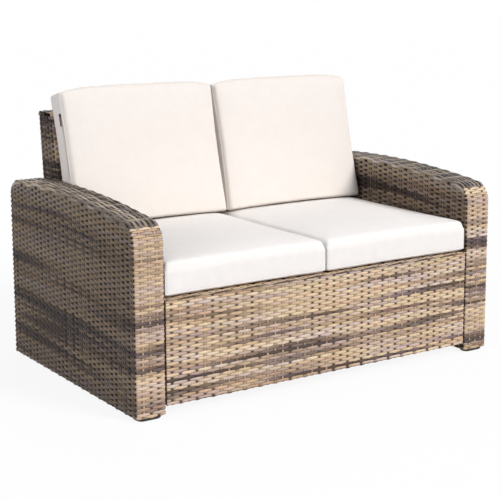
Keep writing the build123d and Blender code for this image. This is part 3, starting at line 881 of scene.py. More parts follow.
# Back panel
back_low, back_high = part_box("back_weave")
back_half = (back_high.x - back_low.x) / 2
back_bottom, back_top = back_low.z, back_high.z
back_front_foot = back_low.y
back_rise = back_top - back_bottom
back_top_front = back_front_foot + back_rise * math.tan(BACK_FRONT_LEAN)
back_rear_foot = back_top_front + BACK_TOP_THICKNESS - back_rise * math.tan(BACK_REAR_LEAN)
back_front_normal = np.array([0, -math.cos(BACK_FRONT_LEAN), math.sin(BACK_FRONT_LEAN)])
back_rear_normal = np.array([0, math.cos(BACK_REAR_LEAN), -math.sin(BACK_REAR_LEAN)])
back_rows = int(round((back_rise - BACK_TOP_ROUND) / STRAND_PITCH))
back_pitch = (back_rise - BACK_TOP_ROUND) / back_rows
back_stakes = straight_stakes(back_half)
back_end_shares = (np.arange(END_STAKES) + 0.5) / END_STAKES


def back_faces(height):
    """Y of the panel's front and rear faces at a height."""
    above = height - back_bottom
    rear = back_rear_foot + above * math.tan(BACK_REAR_LEAN)
    return back_front_foot + above * math.tan(BACK_FRONT_LEAN), rear


def tilted(normals):
    """Flat loop normals turned to face as the panel's leaning faces do."""
    toward_front = np.clip(-normals[:, 1:], 0, 1)
    toward_rear = np.clip(normals[:, 1:], 0, 1)
    return columns(normals[:, 0], 0, 0) + toward_front * back_front_normal + toward_rear * back_rear_normal


def back_side_strands(rows):
    """Rows that run all round the back panel."""
    strands = []
    for row in rows:
        height = back_bottom + (row + 0.5) * back_pitch
        y_front, y_rear = back_faces(height)
        plan = (back_half, y_front, y_rear, BACK_SIDE_ROUND)
        path = loop_path(*plan)
        stakes = loop_stakes(path, *plan, back_stakes, y_front + (y_rear - y_front) * back_end_shares)
        places, lift = loop_row(path, stakes, row)
        flat, normals = path.at(places)
        points = columns(*(flat - normals * WEAVE_DEPTH).T, height)
        strands.append(Strand(points, tilted(normals), back_pitch, lift, row, closed=True))
    return strands


def back_top_section():
    """Over the back panel's top, from its front face to its rear face. Pairs are Y and Z."""
    radius, centre_z = BACK_TOP_ROUND, back_top - BACK_TOP_ROUND
    y_front, y_rear = back_faces(centre_z)
    front_centre = y_front + radius / math.cos(BACK_FRONT_LEAN)
    rear_centre = y_rear - radius / math.cos(BACK_REAR_LEAN)
    return Path(
        ((front_centre, centre_z), radius, math.pi - BACK_FRONT_LEAN, math.pi / 2),
        ((front_centre, back_top), (rear_centre, back_top), (0, 1)),
        ((rear_centre, centre_z), radius, math.pi / 2, -BACK_REAR_LEAN),
    )


def back_upright_stakes():
    """Stakes up the panel's front, over its top and down its rear, and those of its ends."""
    section = back_top_section()
    over, lean = section.at(np.linspace(0, section.length, BACK_TOP_SAMPLES))
    up = np.linspace((back_front_foot, back_bottom), over[0], STAKE_SAMPLES)[:-1]
    down = np.linspace(over[-1], (back_rear_foot, back_bottom), STAKE_SAMPLES)[1:]
    front, rear = (np.tile(normal[1:], (len(up), 1)) for normal in (back_front_normal, back_rear_normal))
    normals = np.concatenate([front, lean, rear])
    inward = np.concatenate([up, over, down]) - normals * WEAVE_DEPTH
    turned = columns(0, *normals.T)
    strands = []
    for number, x in enumerate(back_stakes):
        strands.append(stake(columns(x, *inward.T), turned, BACK_STAKE_NUMBER + number))
    levels = np.linspace(back_bottom, back_top - BACK_SIDE_ROUND, STAKE_SAMPLES)
    y_front, y_rear = back_faces(levels)
    for direction in (-1, 1):
        x = direction * (back_half - WEAVE_DEPTH)
        for number, share in enumerate(back_end_shares):
            points = columns(x, y_front * (1 - share) + y_rear * share, levels)
            strands.append(stake(points, (direction, 0, 0), BACK_END_NUMBER + number))
    return strands


# Materials
class Graph:
    """A node tree, with short calls that add a node and give one of its outputs."""

    def __init__(self, tree):
        self.tree = tree

    def fill(self, node, values):
        """Fills a node's inputs with numbers, colours or other nodes' outputs."""
        for key, value in values.items():
            if isinstance(value, bpy.types.NodeSocket):
                self.tree.links.new(value, node.inputs[key])
            else:
                node.inputs[key].default_value = value

    def add(self, kind, inputs, output=0, **settings):
        node = self.tree.nodes.new("ShaderNode" + kind)
        for key, value in settings.items():
            setattr(node, key, value)
        self.fill(node, inputs)
        return node.outputs[output]

    def number(self, operation, *values):
        return self.add("Math", dict(enumerate(values)), operation=operation)

    def split(self, vector):
        return self.add("SeparateXYZ", {0: vector}, slice(0, 3))

    def noise(self, place, detail, scale=1.0):
        return self.add("TexNoise", {"Vector": place, "Scale": scale, "Detail": detail}, "Fac")

    def ranged(self, source, low, high, to_low, to_high):
        """A number spread from one range onto another, and held at its ends."""
        ends = {"From Min": low, "From Max": high, "To Min": to_low, "To Max": to_high}
        return self.add("MapRange", {"Value": source, **ends}, "Result")

    def ramp(self, factor, colours):
        """Colours by place from 0 to 1, as they look on a screen."""
        color = self.add("ValToRGB", {"Fac": factor}, "Color")
        elements = color.node.color_ramp.elements
        while len(elements) < len(colours):
            elements.new(0.5)
        for element, (position, colour) in zip(elements, colours):
            element.position = position
            element.color = linear(*colour)
        return color

    def mixed(self, kind, factor, first, second, **settings):
        inputs = {"Factor": factor, "A": first, "B": second}
        return self.add("Mix", inputs, "Result", data_type=kind, **settings)

    def bump(self, height, distance, strength=0.5):
        return self.add("Bump", {"Height": height, "Distance": distance, "Strength": strength})


def new_material(name):
    material = bpy.data.materials.new(name)
    material.use_nodes = True
    return material, Graph(material.node_tree), material.node_tree.nodes["Principled BSDF"]


def linear(red, green, blue, share=1.0):
    """A colour written as it looks on a screen, 0 to 255, as the shader wants it, or a share of it."""
    parts = [part / 255 for part in (red, green, blue)]
    parts = [part / 12.92 if part <= 0.04045 else ((part + 0.055) / 1.055) ** 2.4 for part in parts]
    return tuple(share * part for part in parts) + (1.0,)


def strand_material(name, colours=ROW_COLOURS, bands=ROW_BANDS, pale_rows=None, flank_shading=ROW_FLANK_SHADE):
    """Resin strands, each with its own run of tan, straw, grey-brown and dark brown, in loose bands, with
    painted shade at their edges and in their dips, deeper and darker on faces that look sideways.
    """
    material, graph, shader = new_material(name)
    place = graph.add("Attribute", {}, "Vector", attribute_name="strand")
    weave = graph.add("Attribute", {}, "Vector", attribute_name="weave")
    across, dip, sideways = graph.split(weave)
    band_share, low, high, band_rows = bands
    flank_shade, flank_power = flank_shading

    def noise(along_scale, row_scale, offset, detail):
        shift = (offset, offset, SEEDS[name] + offset)
        moved = {0: place, 1: (along_scale, along_scale, row_scale), 2: shift}
        return graph.noise(graph.add("VectorMath", moved, operation="MULTIPLY_ADD"), detail)

    banded = noise(BAND_ALONG, band_rows, BAND_OFFSET, 0.0)
    mixed = graph.mixed("FLOAT", 1 - band_share, banded, noise(*SINGLE_NOISE))
    value = graph.ranged(mixed, low, high, 0.0, 1.0)
    if pale_rows is not None:
        row = graph.split(place)[2]
        value = graph.number("ADD", value, graph.ranged(row, *pale_rows, 0.0, PALE_ROW_LIFT))
    tint = graph.ramp(noise(*TINT_NOISE), TINTS)
    tinted = graph.mixed("RGBA", 1.0, graph.ramp(value, colours), tint, blend_type="MULTIPLY")

    # Painted shade, not the resin's colour: darker at a strand's edges and in its dips under the stakes
    edge_shade = graph.ranged(graph.number("ABSOLUTE", across), *EDGE_SHADE_RANGE)
    painted_hollow_shade = graph.number("MULTIPLY", edge_shade, graph.ranged(dip, *DIP_SHADE_RANGE))
    # Painted shade on faces that look sideways, standing in for the shade that falls there; the fibre noise
    # is the resin's own grain
    power = graph.ranged(sideways, FLANK_SHADE_START, 1.0, 1.0, flank_power)
    fibres = graph.ranged(noise(*FIBRE_NOISE), *FIBRE_RANGE)
    painted_flank_shade_and_fibres = graph.number("MULTIPLY", graph.ranged(sideways, FLANK_SHADE_START, 1.0, 1.0, flank_shade), fibres)
    shade = graph.number("MULTIPLY", graph.number("POWER", painted_hollow_shade, power), painted_flank_shade_and_fibres)
    grooves = graph.number("SINE", graph.number("MULTIPLY", across, STRAND_GROOVES))
    graph.fill(shader, {
        "Base Color": graph.add("HueSaturation", {"Value": shade, "Color": tinted}),
        "Roughness": STRAND_ROUGHNESS,
        "Specular IOR Level": STRAND_SPECULAR,
        "Normal": graph.bump(grooves, STRAND_GROOVE_DEPTH),
    })
    return material


def stake_material(name):
    return strand_material(name, STAKE_COLOURS, STAKE_BANDS)


def cloth_material(name, colour):
    """Plain-woven outdoor cloth: fine crossing threads, slubs and faint mottling."""
    material, graph, shader = new_material(name)
    place = graph.add("Attribute", {}, "Vector", attribute_name="cloth")

    def scaled(scale):
        return graph.add("VectorMath", {0: place, 1: scale}, operation="MULTIPLY")

    x, y, z = (graph.number("SINE", part) for part in graph.split(scaled((THREADS_PER_METRE,) * 3)))
    threads = graph.number("ADD", graph.number("ADD", x, y), z)
    slubs = graph.number("ADD", *(graph.noise(scaled(scale), 1.0) for scale in SLUB_SCALES))
    mottle = graph.ranged(graph.noise(scaled(MOTTLE_SCALE), 2.0), *MOTTLE_TONES)
    tone = graph.number("ADD", graph.ranged(slubs, *SLUB_TONES), mottle)
    graph.fill(shader, {
        "Base Color": graph.add("HueSaturation", {"Value": tone, "Color": linear(*colour)}),
        "Normal": graph.bump(graph.number("ADD", threads, slubs), CLOTH_THREAD_DEPTH),
        "Roughness": CLOTH_ROUGHNESS,
        "Specular IOR Level": CLOTH_SPECULAR,
        "Sheen Weight": CLOTH_SHEEN,
    })
    return material


def plain_material(name, colour, roughness, metallic, bump_scale, bump_depth):
    """A finish of one colour with slight mottling, and a fine bump."""
    material, graph, shader = new_material(name)
    texture = graph.noise(graph.add("NewGeometry", {}, "Position"), 4.0, bump_scale)
    mottled = graph.ramp(texture, ((0.0, (*colour, MOTTLE_DEPTH)), (1.0, colour)))
    graph.fill(shader, {
        "Base Color": mottled,
        "Normal": graph.bump(texture, bump_depth, FINE_BUMP_STRENGTH),
        "Roughness": roughness,
        "Metallic": metallic,
    })
    return material


finishes = {slot: plain_material(*finish) for slot, finish in FINISHES.items()}
slots = {row["node"]: row["material_slot"] for row in frame["record"]["subparts"]}
for node, piece in frame["nodes"].items():
    piece.data.materials.clear()
    piece.data.materials.append(finishes[slots[node]])


def woven(name, strands, material, replaced=()):
    return dressed(strand_mesh(name, strands), material, "frame", replaced)


for arm, side in (("arm_left", -1), ("arm_right", 1)):
    resin = strand_material(arm + "_resin", ROW_COLOURS, ARM_BANDS, arm_rows + SHOULDER_ROWS)
    edge_rows = arm_rows + ARM_EDGE_ROWS
    top_resin = strand_material(arm + "_top_resin", ARM_TOP_COLOURS, ARM_TOP_BANDS, edge_rows, TOP_FLANK_SHADE)
    half = arm_rows // 2
    woven(arm + "_lower_strands", arm_side_strands(side, range(half)), resin, [arm + "_weave"])
    woven(arm + "_upper_strands", arm_side_strands(side, range(half, arm_rows)), resin)
    woven(arm + "_top_strands", arm_top_strands(side), top_resin)
    woven(arm + "_stakes", arm_stakes(side), stake_material(arm + "_stake_resin"))

skirt_rows = swept_rows(skirt_section(), skirt_half, 0)
skirt_stakes = swept_stakes(skirt_section(), skirt_half, PANEL_STAKE_NUMBER, SKIRT_SECTION_SAMPLES)
skirt_resin = strand_material("skirt_resin", ROW_COLOURS, SKIRT_BANDS, len(skirt_rows) + BROW_ROWS)
woven("skirt_strands", skirt_rows, skirt_resin, ["skirt_weave"])
woven("skirt_stakes", skirt_stakes, stake_material("skirt_stake_resin"))

back_resin = strand_material("back_resin")
for number, rows in enumerate(np.array_split(np.arange(back_rows), BACK_PARTS)):
    woven(f"back_strands_{number}", back_side_strands(rows), back_resin, [] if number else ["back_weave"])
woven("back_top_strands", swept_rows(back_top_section(), back_half, back_rows), back_resin)
woven("back_stakes", back_upright_stakes(), stake_material("back_stake_resin"))

for number, strand in enumerate(skirt_rim()):
    rim_colours = STAKE_COLOURS[:2] if number else STAKE_COLOURS[2:]
    woven(f"skirt_rim_{number}", [strand], strand_material(f"rim_resin_{number}", rim_colours, RIM_BANDS))

deck_low, deck_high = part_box("seat_deck_weave")
deck_section = Path(((deck_low.y, deck_high.z), (deck_high.y, deck_high.z), (0, 1)))
deck_resin = strand_material("deck_resin")
deck_rows = swept_rows(deck_section, skirt_half, 0)
deck_stakes = swept_stakes(deck_section, skirt_half, PANEL_STAKE_NUMBER, DECK_SECTION_SAMPLES)
deck_middle = len(deck_rows) // 2
woven("seat_deck_front_strands", deck_rows[:deck_middle], deck_resin, ["seat_deck_weave"])
woven("seat_deck_rear_strands", deck_rows[deck_middle:], deck_resin)
woven("seat_deck_stakes", deck_stakes, stake_material("deck_stake_resin"))


# Cushions
class Pad:
    """One cushion in its own frame: X across, Y along its length, Z from its rear panel outward.
    Its zip is an origin, its direction, its outward side, its middle's place and its length."""

    def __init__(self, name, side, seat):
        self.name = name
        self.seat = seat
        length = SEAT_PAD_LENGTH if seat else BACK_PAD_LENGTH
        boxing = SEAT_PAD_BOXING if seat else BACK_PAD_BOXING
        self.full_x, self.full_y = SEAT_PAD_WIDTH / 2, length / 2
        self.half_x = self.full_x - PAD_SIDE_INSET
        self.half_y = self.full_y - PAD_SIDE_INSET
        self.far_bow = -PAD_DRAW_IN if seat else BACK_PAD_ARCH
        self.boxing_top = LOWER_EDGE_HEIGHT + boxing
        self.crown = (SEAT_PAD_CROWN if seat else BACK_PAD_CROWN) - PAD_START_INSET
        self.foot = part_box(name + "_cover")[0].z
        if seat:
            self.turn = np.eye(3)
            self.place = np.array([side * PAD_PLACE_X, SEAT_PAD_MIDDLE, self.foot])
            self.zip_origin = np.array([0, self.full_y, LOWER_EDGE_HEIGHT + boxing / 2])
            self.zip_along, self.zip_out = np.array([-1.0, 0, 0]), np.array([0, 1.0, 0])
            self.zip_middle, self.zip_length = 0, SEAT_ZIP_LENGTH
        else:
            lean = math.pi / 2 - BACK_PAD_LEAN
            up = np.array([0, math.cos(lean), math.sin(lean)])
            out = np.array([0, -math.sin(lean), math.cos(lean)])
            self.turn = np.column_stack([[1, 0, 0], up, out])
            self.place = np.array([side * PAD_PLACE_X, BACK_PAD_FOOT_Y, self.foot]) + up * BACK_PAD_MIDDLE
            self.zip_origin = np.array([side * self.full_x, 0, self.boxing_top - ZIP_WIDTH / 2])
            self.zip_along, self.zip_out = np.array([0, -1.0, 0]), np.array([side * 1.0, 0, 0])
            self.zip_length = BACK_ZIP_LENGTH
            self.zip_middle = BACK_ZIP_FROM_TOP + BACK_ZIP_LENGTH / 2 - self.full_y

    def to_world(self, points):
        return points @ self.turn.T + self.place

    def to_own(self, points):
        return (points - self.place) @ self.turn

    def zip_places(self, count):
        """Points evenly along the zip on the drawn-in side."""
        half_run = (self.full_x if self.seat else self.full_y) - PAD_CORNER_RADIUS
        radius = (half_run**2 + PAD_DRAW_IN**2) / (2 * PAD_DRAW_IN)
        places = self.zip_middle + np.linspace(-self.zip_length / 2, self.zip_length / 2, count)
        inward = PAD_DRAW_IN - radius + np.sqrt(radius**2 - places**2)
        return self.zip_origin + self.zip_along * places[:, None] - self.zip_out * inward[:, None]

    def zip_bed(self, own):
        """1 on the boxing under the zip, fading to 0 around it."""
        offset = own - self.zip_origin
        beyond = np.abs(offset @ self.zip_along - self.zip_middle) - self.zip_length / 2
        gaps = columns(np.abs(offset[:, 2]) - ZIP_BED, beyond)
        near = np.prod(np.clip(1 - gaps / ZIP_BED_FADE, 0, 1), axis=1)
        return near * (np.abs(offset @ self.zip_out) < ZIP_BED)


def rounded(across, along, pad):
    """Maps a square, -1 to 1 both ways, onto the cushion's plan with its round corners and bowed sides."""
    ring = np.maximum(np.abs(across), np.abs(along))
    corner = PAD_CORNER_START * ring
    x, y = across * pad.half_x, along * pad.half_y
    core_x, core_y = pad.half_x * ring - corner, pad.half_y * ring - corner
    over_x, over_y = np.abs(x) - core_x, np.abs(y) - core_y
    turning = (over_x > 0) & (over_y > 0)
    reach = np.maximum(np.hypot(over_x, over_y), 1e-9)
    x = np.where(turning, np.sign(x) * (core_x + corner * over_x / reach), x)
    y = np.where(turning, np.sign(y) * (core_y + corner * over_y / reach), y)
    side_bow = 1 - (y / (pad.half_y - PAD_CORNER_RADIUS)) ** 2
    end_bow = 1 - (x / (pad.half_x - PAD_CORNER_RADIUS)) ** 2
    if not pad.seat:
        end_bow = np.where(along > 0, 1 - np.abs(x / pad.half_x) ** ARCH_SQUARENESS, end_bow)
    far = np.where(along > 0, pad.far_bow, -PAD_DRAW_IN)
    bowed_x = x - np.sign(across) * PAD_DRAW_IN * np.clip(side_bow, 0, 1) * np.abs(across) ** 3
    bowed_y = y + np.sign(along) * far * np.clip(end_bow, 0, 1) * np.abs(along) ** 3
    return bowed_x, bowed_y


def rise(inset, reach, fullness):
    """Height, 0 to 1, of a rounded edge at a distance in from it."""
    return np.sin(np.arccos(np.clip(1 - inset / reach, 0, 1))) ** fullness


def pad_grid(size):
    """Positions from -1 to 1, closer together towards the ends."""
    even = np.linspace(-1, 1, 2 * int(round(size / PAD_STEP)) + 1)
    return even * (1 + PAD_STEP_CROWDING * (1 - even**2))


def quads(block, upward):
    corners = np.stack([block[:-1, :-1], block[1:, :-1], block[1:, 1:], block[:-1, 1:]], -1).reshape(-1, 4)
    return corners if upward else corners[:, ::-1]


def pad_shell(pad):
    """The cushion's closed surface before it is filled: rear panel, boxing and crowned panel.
    Gives its points, its faces and its rings from the lower seam to the upper one."""
    across, along = np.meshgrid(pad_grid(pad.half_x), pad_grid(pad.half_y), indexing="ij")
    x, y = rounded(across, along, pad)
    inset_x = (1 - np.abs(across)) * pad.half_x
    inset_y = (1 - np.abs(along)) * pad.half_y
    reach = PAD_CROWN_REACH_SHARE * 2 * min(pad.half_x, pad.half_y)
    inset = (np.maximum(inset_x, 1e-6) ** -3.0 + np.maximum(inset_y, 1e-6) ** -3.0) ** (-1 / 3)
    height = pad.crown * rise(inset, reach, SEAT_PAD_FULLNESS if pad.seat else BACK_PAD_FULLNESS)
    if pad.seat:
        front = np.clip(1 - (y + pad.half_y) / WRAP_REACH, 0, 1) ** 2
        turned = rise(inset_x, WRAP_ROUND, 1.0) * rise(inset_y, WRAP_ROUND, 1.0)
        height = height - WRAP_DROP * front * (1 - turned)
    top = np.stack([x, y, pad.boxing_top + height], -1).reshape(-1, 3)
    flat = rise(np.minimum(inset_x, inset_y), LOWER_EDGE_INSET, 1.0)
    low = LOWER_EDGE_HEIGHT - (LOWER_EDGE_HEIGHT - PAD_START_INSET) * flat
    bottom = np.stack([x, y, low], -1).reshape(-1, 3)
    index = np.arange(across.size).reshape(across.shape)
    rim = np.concatenate([index[:-1, 0], index[-1, :-1], index[:0:-1, -1], index[0, :0:-1]])
    faces = [quads(index, True), quads(index + index.size, False)]
    points = [top, bottom]
    rings = [rim + index.size]
    for level in range(1, BOXING_STEPS):
        share = level / BOXING_STEPS
        points.append(bottom[rim] * (1 - share) + top[rim] * share)
        rings.append(2 * index.size + (level - 1) * len(rim) + np.arange(len(rim)))
    rings.append(rim)
    for lower, upper in zip(rings[:-1], rings[1:]):
        faces.append(np.stack([lower, np.roll(lower, -1), np.roll(upper, -1), upper], -1))
    points = np.concatenate(points)
    if not pad.seat:
        fade = np.clip(1 - (points[:, 1] + pad.half_y) / FOOT_REACH, 0, 1) ** 2
        level_y = -math.tan(BACK_PAD_LEAN) * points[:, 2] - BACK_PAD_MIDDLE
        points[:, 1] += fade * (level_y + pad.half_y)
    return points, np.concatenate(faces), np.array(rings)


def ripples(points, seed):
    """Slow, uneven swelling of the filling, from a few waves whose odd factors keep them out of step."""
    total = np.zeros(len(points))
    for k in range(RIPPLE_WAVES):
        turn = seed * 1.7 + k * 2.4
        direction = np.array([math.cos(turn), math.sin(turn), 0.6 * math.sin(turn * 1.3)])
        total += np.sin(points @ direction * (22 + 9 * k) + seed * 3.1 + k) / (1 + k)
    return total / 2.3


def inflated(piece, start, normals, seams):
    """Cloth under pressure swells the cover. Each point's move is capped, so that it stays in its space."""
    group = piece.vertex_groups.new(name="seams")
    group.add([int(v) for v in seams], 1.0, "REPLACE")
    modifier = piece.modifiers.new("cloth", "CLOTH")
    settings = modifier.settings
    settings.quality = CLOTH_QUALITY
    settings.use_pressure = True
    settings.uniform_pressure_force = PAD_PRESSURE
    settings.vertex_group_shrink = "seams"
    settings.shrink_min = 0.0
    settings.shrink_max = SEAM_SHRINK_SHARE
    settings.effector_weights.gravity = 0
    scene = bpy.context.scene
    for number in range(1, PAD_FRAMES + 1):
        scene.frame_set(number)
    filled = piece.evaluated_get(bpy.context.evaluated_depsgraph_get())
    moved = vertex_values(filled.data, "co")
    piece.modifiers.remove(modifier)
    piece.vertex_groups.clear()
    scene.frame_set(1)
    move = moved - start
    outward = np.sum(move * normals, 1)
    along = move - outward[:, None] * normals
    usual = max(np.percentile(outward, SWELL_PERCENTILE), PAD_SWELL_CAP)
    outward = outward * (PAD_SWELL_CAP / usual)
    cap = np.where(outward > 0, PAD_SWELL_CAP, PAD_SINK_CAP)
    size = np.maximum(np.linalg.norm(along, axis=1, keepdims=True), 1e-9)
    along = along * (PAD_SLIDE_CAP * np.tanh(size / PAD_SLIDE_CAP) / size)
    return along + normals * (cap * np.tanh(outward / cap))[:, None]


def nearest(points, targets):
    """Distance from each point to the nearest target, and which one that is."""
    tree = KDTree(len(targets))
    for number, target in enumerate(targets):
        tree.insert(target, number)
    tree.balance()
    found = [tree.find(point) for point in points]
    return np.array([item[2] for item in found]), np.array([item[1] for item in found])


def puckers(points, seam_points, seed):
    """Small gathers that run away from a seam and fade. Odd factors keep their waves out of step."""
    gap, which = nearest(points, seam_points)
    run = np.arange(len(seam_points)) * 1.0
    gathers = np.sin(run * 0.93 + seed) * np.sin(run * 0.31 + 2 * seed) + 0.5 * np.sin(run * 1.71 + 3 * seed)
    return PUCKER_HEIGHT * gathers[which] * np.exp(-gap / PUCKER_REACH)


def crease_edges(mesh, lines):
    """Keeps the seams crisp when the mesh is subdivided."""
    pairs = np.zeros(len(mesh.edges) * 2, np.int32)
    mesh.edges.foreach_get("vertices", pairs)
    pairs = np.sort(pairs.reshape(-1, 2), 1)
    wanted = set()
    for line in lines:
        wanted.update(tuple(sorted((int(a), int(b)))) for a, b in zip(line[:-1], line[1:]))
    values = np.array([SEAM_CREASE if tuple(pair) in wanted else 0.0 for pair in pairs], np.float32)
    layer = mesh.attributes.new("crease_edge", "FLOAT", "EDGE")
    layer.data.foreach_set("value", values)


def subdivided(piece):
    modifier = piece.modifiers.new("smooth", "SUBSURF")
    modifier.levels = 1
    modifier.render_levels = 1
    shaped = bpy.data.meshes.new_from_object(piece.evaluated_get(bpy.context.evaluated_depsgraph_get()))
    piece.modifiers.clear()
    piece.data = shaped
    shaped.shade_smooth()


def pad_seams(pad, rings):
    """Lines of points along the cushion's seams: closed loops repeat their first point."""
    lower, upper = rings[0], rings[-1]
    whole = [np.append(lower, lower[0])]
    if not pad.seat:
        return whole + [np.append(upper, upper[0])]
    corner = 2 * int(round(pad.half_x / PAD_STEP))
    side = np.append(upper[corner:], upper[0])
    return whole + [np.concatenate([rings[:-1, corner], side, rings[:-1, 0][::-1]])]


def make_pad(pad, seed, material):
    """A filled cushion cover with sunk, puckered seams, and the cords in its seams."""
    own, faces, rings = pad_shell(pad)
    piece = smooth_mesh(pad.name, pad.to_world(own), faces, {"cloth": own})
    start = vertex_values(piece.data, "co")
    normals = vertex_values(piece.data, "normal")
    seams = pad_seams(pad, rings)
    seam_points = np.unique(np.concatenate(seams))
    move = inflated(piece, start, normals, seam_points)
    uneven = RIPPLE_HEIGHT * ripples(start, seed)
    for line in seams:
        uneven = uneven + puckers(start, start[line], seed)
    own_move = (move + normals * uneven[:, None]) @ pad.turn
    own_move[:, :2] *= PAD_SIDE_SHARE
    bed = pad.zip_bed(own)[:, None]
    own_move = own_move * (1 - bed) + (normals @ pad.turn) * PAD_SIDE_INSET * bed
    move = own_move @ pad.turn.T
    move[seam_points] -= normals[seam_points] * SEAM_GROOVE
    shaped = pad.to_own(start + move)
    shaped[:, 2] = np.maximum(shaped[:, 2], REST_GAP)
    shaped = pad.to_world(shaped)
    if not pad.seat:
        shaped[:, 2] = np.maximum(shaped[:, 2], pad.foot + REST_GAP)
    piece.data.vertices.foreach_set("co", shaped.astype(np.float32).ravel())
    piece.data.update()
    crease_edges(piece.data, seams)
    subdivided(piece)
    piece.data.materials.clear()
    piece.data.materials.append(material)
    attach(piece, pad.name)
    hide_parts(pad.name + "_cover", pad.name + "_core")
    final = vertex_values(piece.data, "co")
    turned = vertex_values(piece.data, "normal")
    parts = []
    for line in seams:
        closed = line[0] == line[-1]
        line = line[:-1] if closed else line
        path = final[line] + turned[line] * SEAM_CORD_RISE
        parts.append(sweep(path, round_section(SEAM_CORD), turned[line], closed))
    joined(pad.name + "_seams", parts, material, pad.name)


def block(centre, axes, halves):
    """A small six-sided block."""
    signs = np.array([[x, y, z] for z in (-1, 1) for y in (-1, 1) for x in (-1, 1)], float)
    points = centre + (signs * halves) @ np.asarray(axes)
    faces = [(0, 2, 3, 1), (4, 5, 7, 6), (0, 1, 5, 4), (2, 6, 7, 3), (0, 4, 6, 2), (1, 3, 7, 5)]
    return points, np.array(faces)


def make_zip(pad, tape, metal):
    """Two tapes with interlocked teeth between them, and a slider with its pull at the first end."""
    along, up, out = pad.zip_along, np.array([0, 0, 1.0]), pad.zip_out
    line = pad.zip_places(ZIP_SAMPLES)
    parts = []

    def add(points_faces):
        parts.append((pad.to_world(points_faces[0]), points_faces[1]))

    section = strip_section(ZIP_TAPE_WIDTH, 0, ZIP_TAPE_THICKNESS, ZIP_TAPE_THICKNESS / 4)
    for way in (-1, 1):
        add(sweep(line + up * way * (ZIP_WIDTH - ZIP_TAPE_WIDTH) / 2, section, out))
    axes = np.array([along, up, out])
    if np.linalg.det(axes) < 0:
        axes[2] *= -1
    teeth = pad.zip_places(2 * int(distances(line)[-1] / ZIP_TOOTH_PITCH / 2))
    for number, place in enumerate(teeth[1:-1]):
        shift = ZIP_TOOTH_SHIFT if number % 2 else -ZIP_TOOTH_SHIFT
        add(block(place + up * shift + out * ZIP_TOOTH[2], axes, ZIP_TOOTH))
    joined(pad.name + "_zip_strip", parts, tape, pad.name, [pad.name + "_zip"])

    parts.clear()
    face = line[0] + out * ZIP_THICKNESS
    outward = axes[2]
    for low, high, width_share, start, end in SLIDER_PLATES:
        places = np.linspace(start, end, len(SLIDER_SHARES)) * SLIDER_LENGTH
        low, high = low * SLIDER_THICKNESS, high * SLIDER_THICKNESS
        section = [(0.5, low), (0.5, high), (-0.5, high), (-0.5, low)]
        widths = SLIDER_WIDTH * SLIDER_SHARES * width_share
        add(sweep(face + along * places[:, None], section, outward, widths=widths))
    turn = np.linspace(0, math.pi, BRIDGE_SAMPLES)[:, None]
    reach = SLIDER_LENGTH * (BRIDGE_MIDDLE - BRIDGE_HALF_SPAN * np.cos(turn))
    height = SLIDER_THICKNESS * (BRIDGE_LOW + BRIDGE_RISE * np.sin(turn))
    add(sweep(face + along * reach + outward * height, strip_section(*BRIDGE_SECTION), outward))

    heights = (-PULL_THICKNESS / 2, PULL_THICKNESS / 2)
    start = face + along * (SLIDER_LENGTH - PULL_THICKNESS) + outward * SLIDER_THICKNESS / 2
    round_end = np.linspace(-math.pi / 2, math.pi / 2, PULL_END_SAMPLES)
    rail = PULL_WIDTH / 2 - PULL_EDGE
    near, far = rail + PULL_EDGE, PULL_LENGTH - rail - 0.0001
    loop = [(far + rail * math.cos(v), rail * math.sin(v)) for v in round_end]
    loop += [(near - rail * math.cos(v), -rail * math.sin(v)) for v in round_end]
    loop = [start + along * a + up * b for a, b in loop]
    add(sweep(loop, strip_section(PULL_RAIL_WIDTH, *heights, PULL_CHAMFER), outward, closed=True))
    for share in PULL_BARS:
        bar = [start + along * PULL_LENGTH * share + up * rail * way for way in (-1, 1)]
        add(sweep(bar, strip_section(PULL_BAR_WIDTH, *heights, PULL_CHAMFER), outward))
    slider = pad.name + "_slider"
    joined(pad.name + "_zip_pull", parts, metal, slider, [pad.name + "_zip_slider"])


seat_cloth_lit = cloth_material("seat_cloth_lit", SEAT_CLOTH_LIT_TONE)
back_cloth_shaded = cloth_material("back_cloth_shaded", BACK_CLOTH_SHADED_TONE)
zip_cloth = cloth_material("zip_tape_cloth", ZIP_CLOTH)
zip_metal = plain_material(*ZIP_METAL)
for number, (name, side, seat) in enumerate(
    (
        ("seat_cushion_left", -1, True),
        ("seat_cushion_right", 1, True),
        ("back_cushion_left", -1, False),
        ("back_cushion_right", 1, False),
    )
):
    pad = Pad(name, side, seat)
    make_pad(pad, 1.0 + number, seat_cloth_lit if seat else back_cloth_shaded)
    make_zip(pad, zip_cloth, zip_metal)


# Glides
def stadium(half_x, radius, profile, place):
    """A solid with two round ends seen from above, through rings of an inset and a height each."""
    turn = np.linspace(0, math.pi, GLIDE_END_SAMPLES) + math.pi / 2
    rings = []
    for inset, height in profile:
        left = columns(np.cos(turn), np.sin(turn)) * (radius - inset) - (half_x - radius, 0)
        rings.append(columns(*np.concatenate([left, -left]).T, height) + place)
    return tube(np.array(rings))


for arm, side in (("arm_left", -1), ("arm_right", 1)):
    parts = []
    reach_y = GLIDE_SET_BACK + GLIDE_LENGTH / 2
    for y in (arm_low.y + reach_y, arm_high.y - reach_y):
        parts.append(stadium(GLIDE_WIDTH / 2, GLIDE_LENGTH / 2, GLIDE_PROFILE, (side * arm_middle, y, 0)))
    for way in (-1, 1):
        x = side * arm_middle + way * (arm_half_width - PLUG_INSET)
        for y in (arm_low.y + PLUG_INSET, arm_high.y - PLUG_INSET):
            parts.append(stadium(PLUG_RADIUS, PLUG_RADIUS, PLUG_PROFILE, (x, y, 0)))
    material = plain_material(arm + "_glide_plastic", *GLIDE_PLASTIC)
    joined(arm + "_glide_pads", parts, material, "frame", [arm + "_glides"])


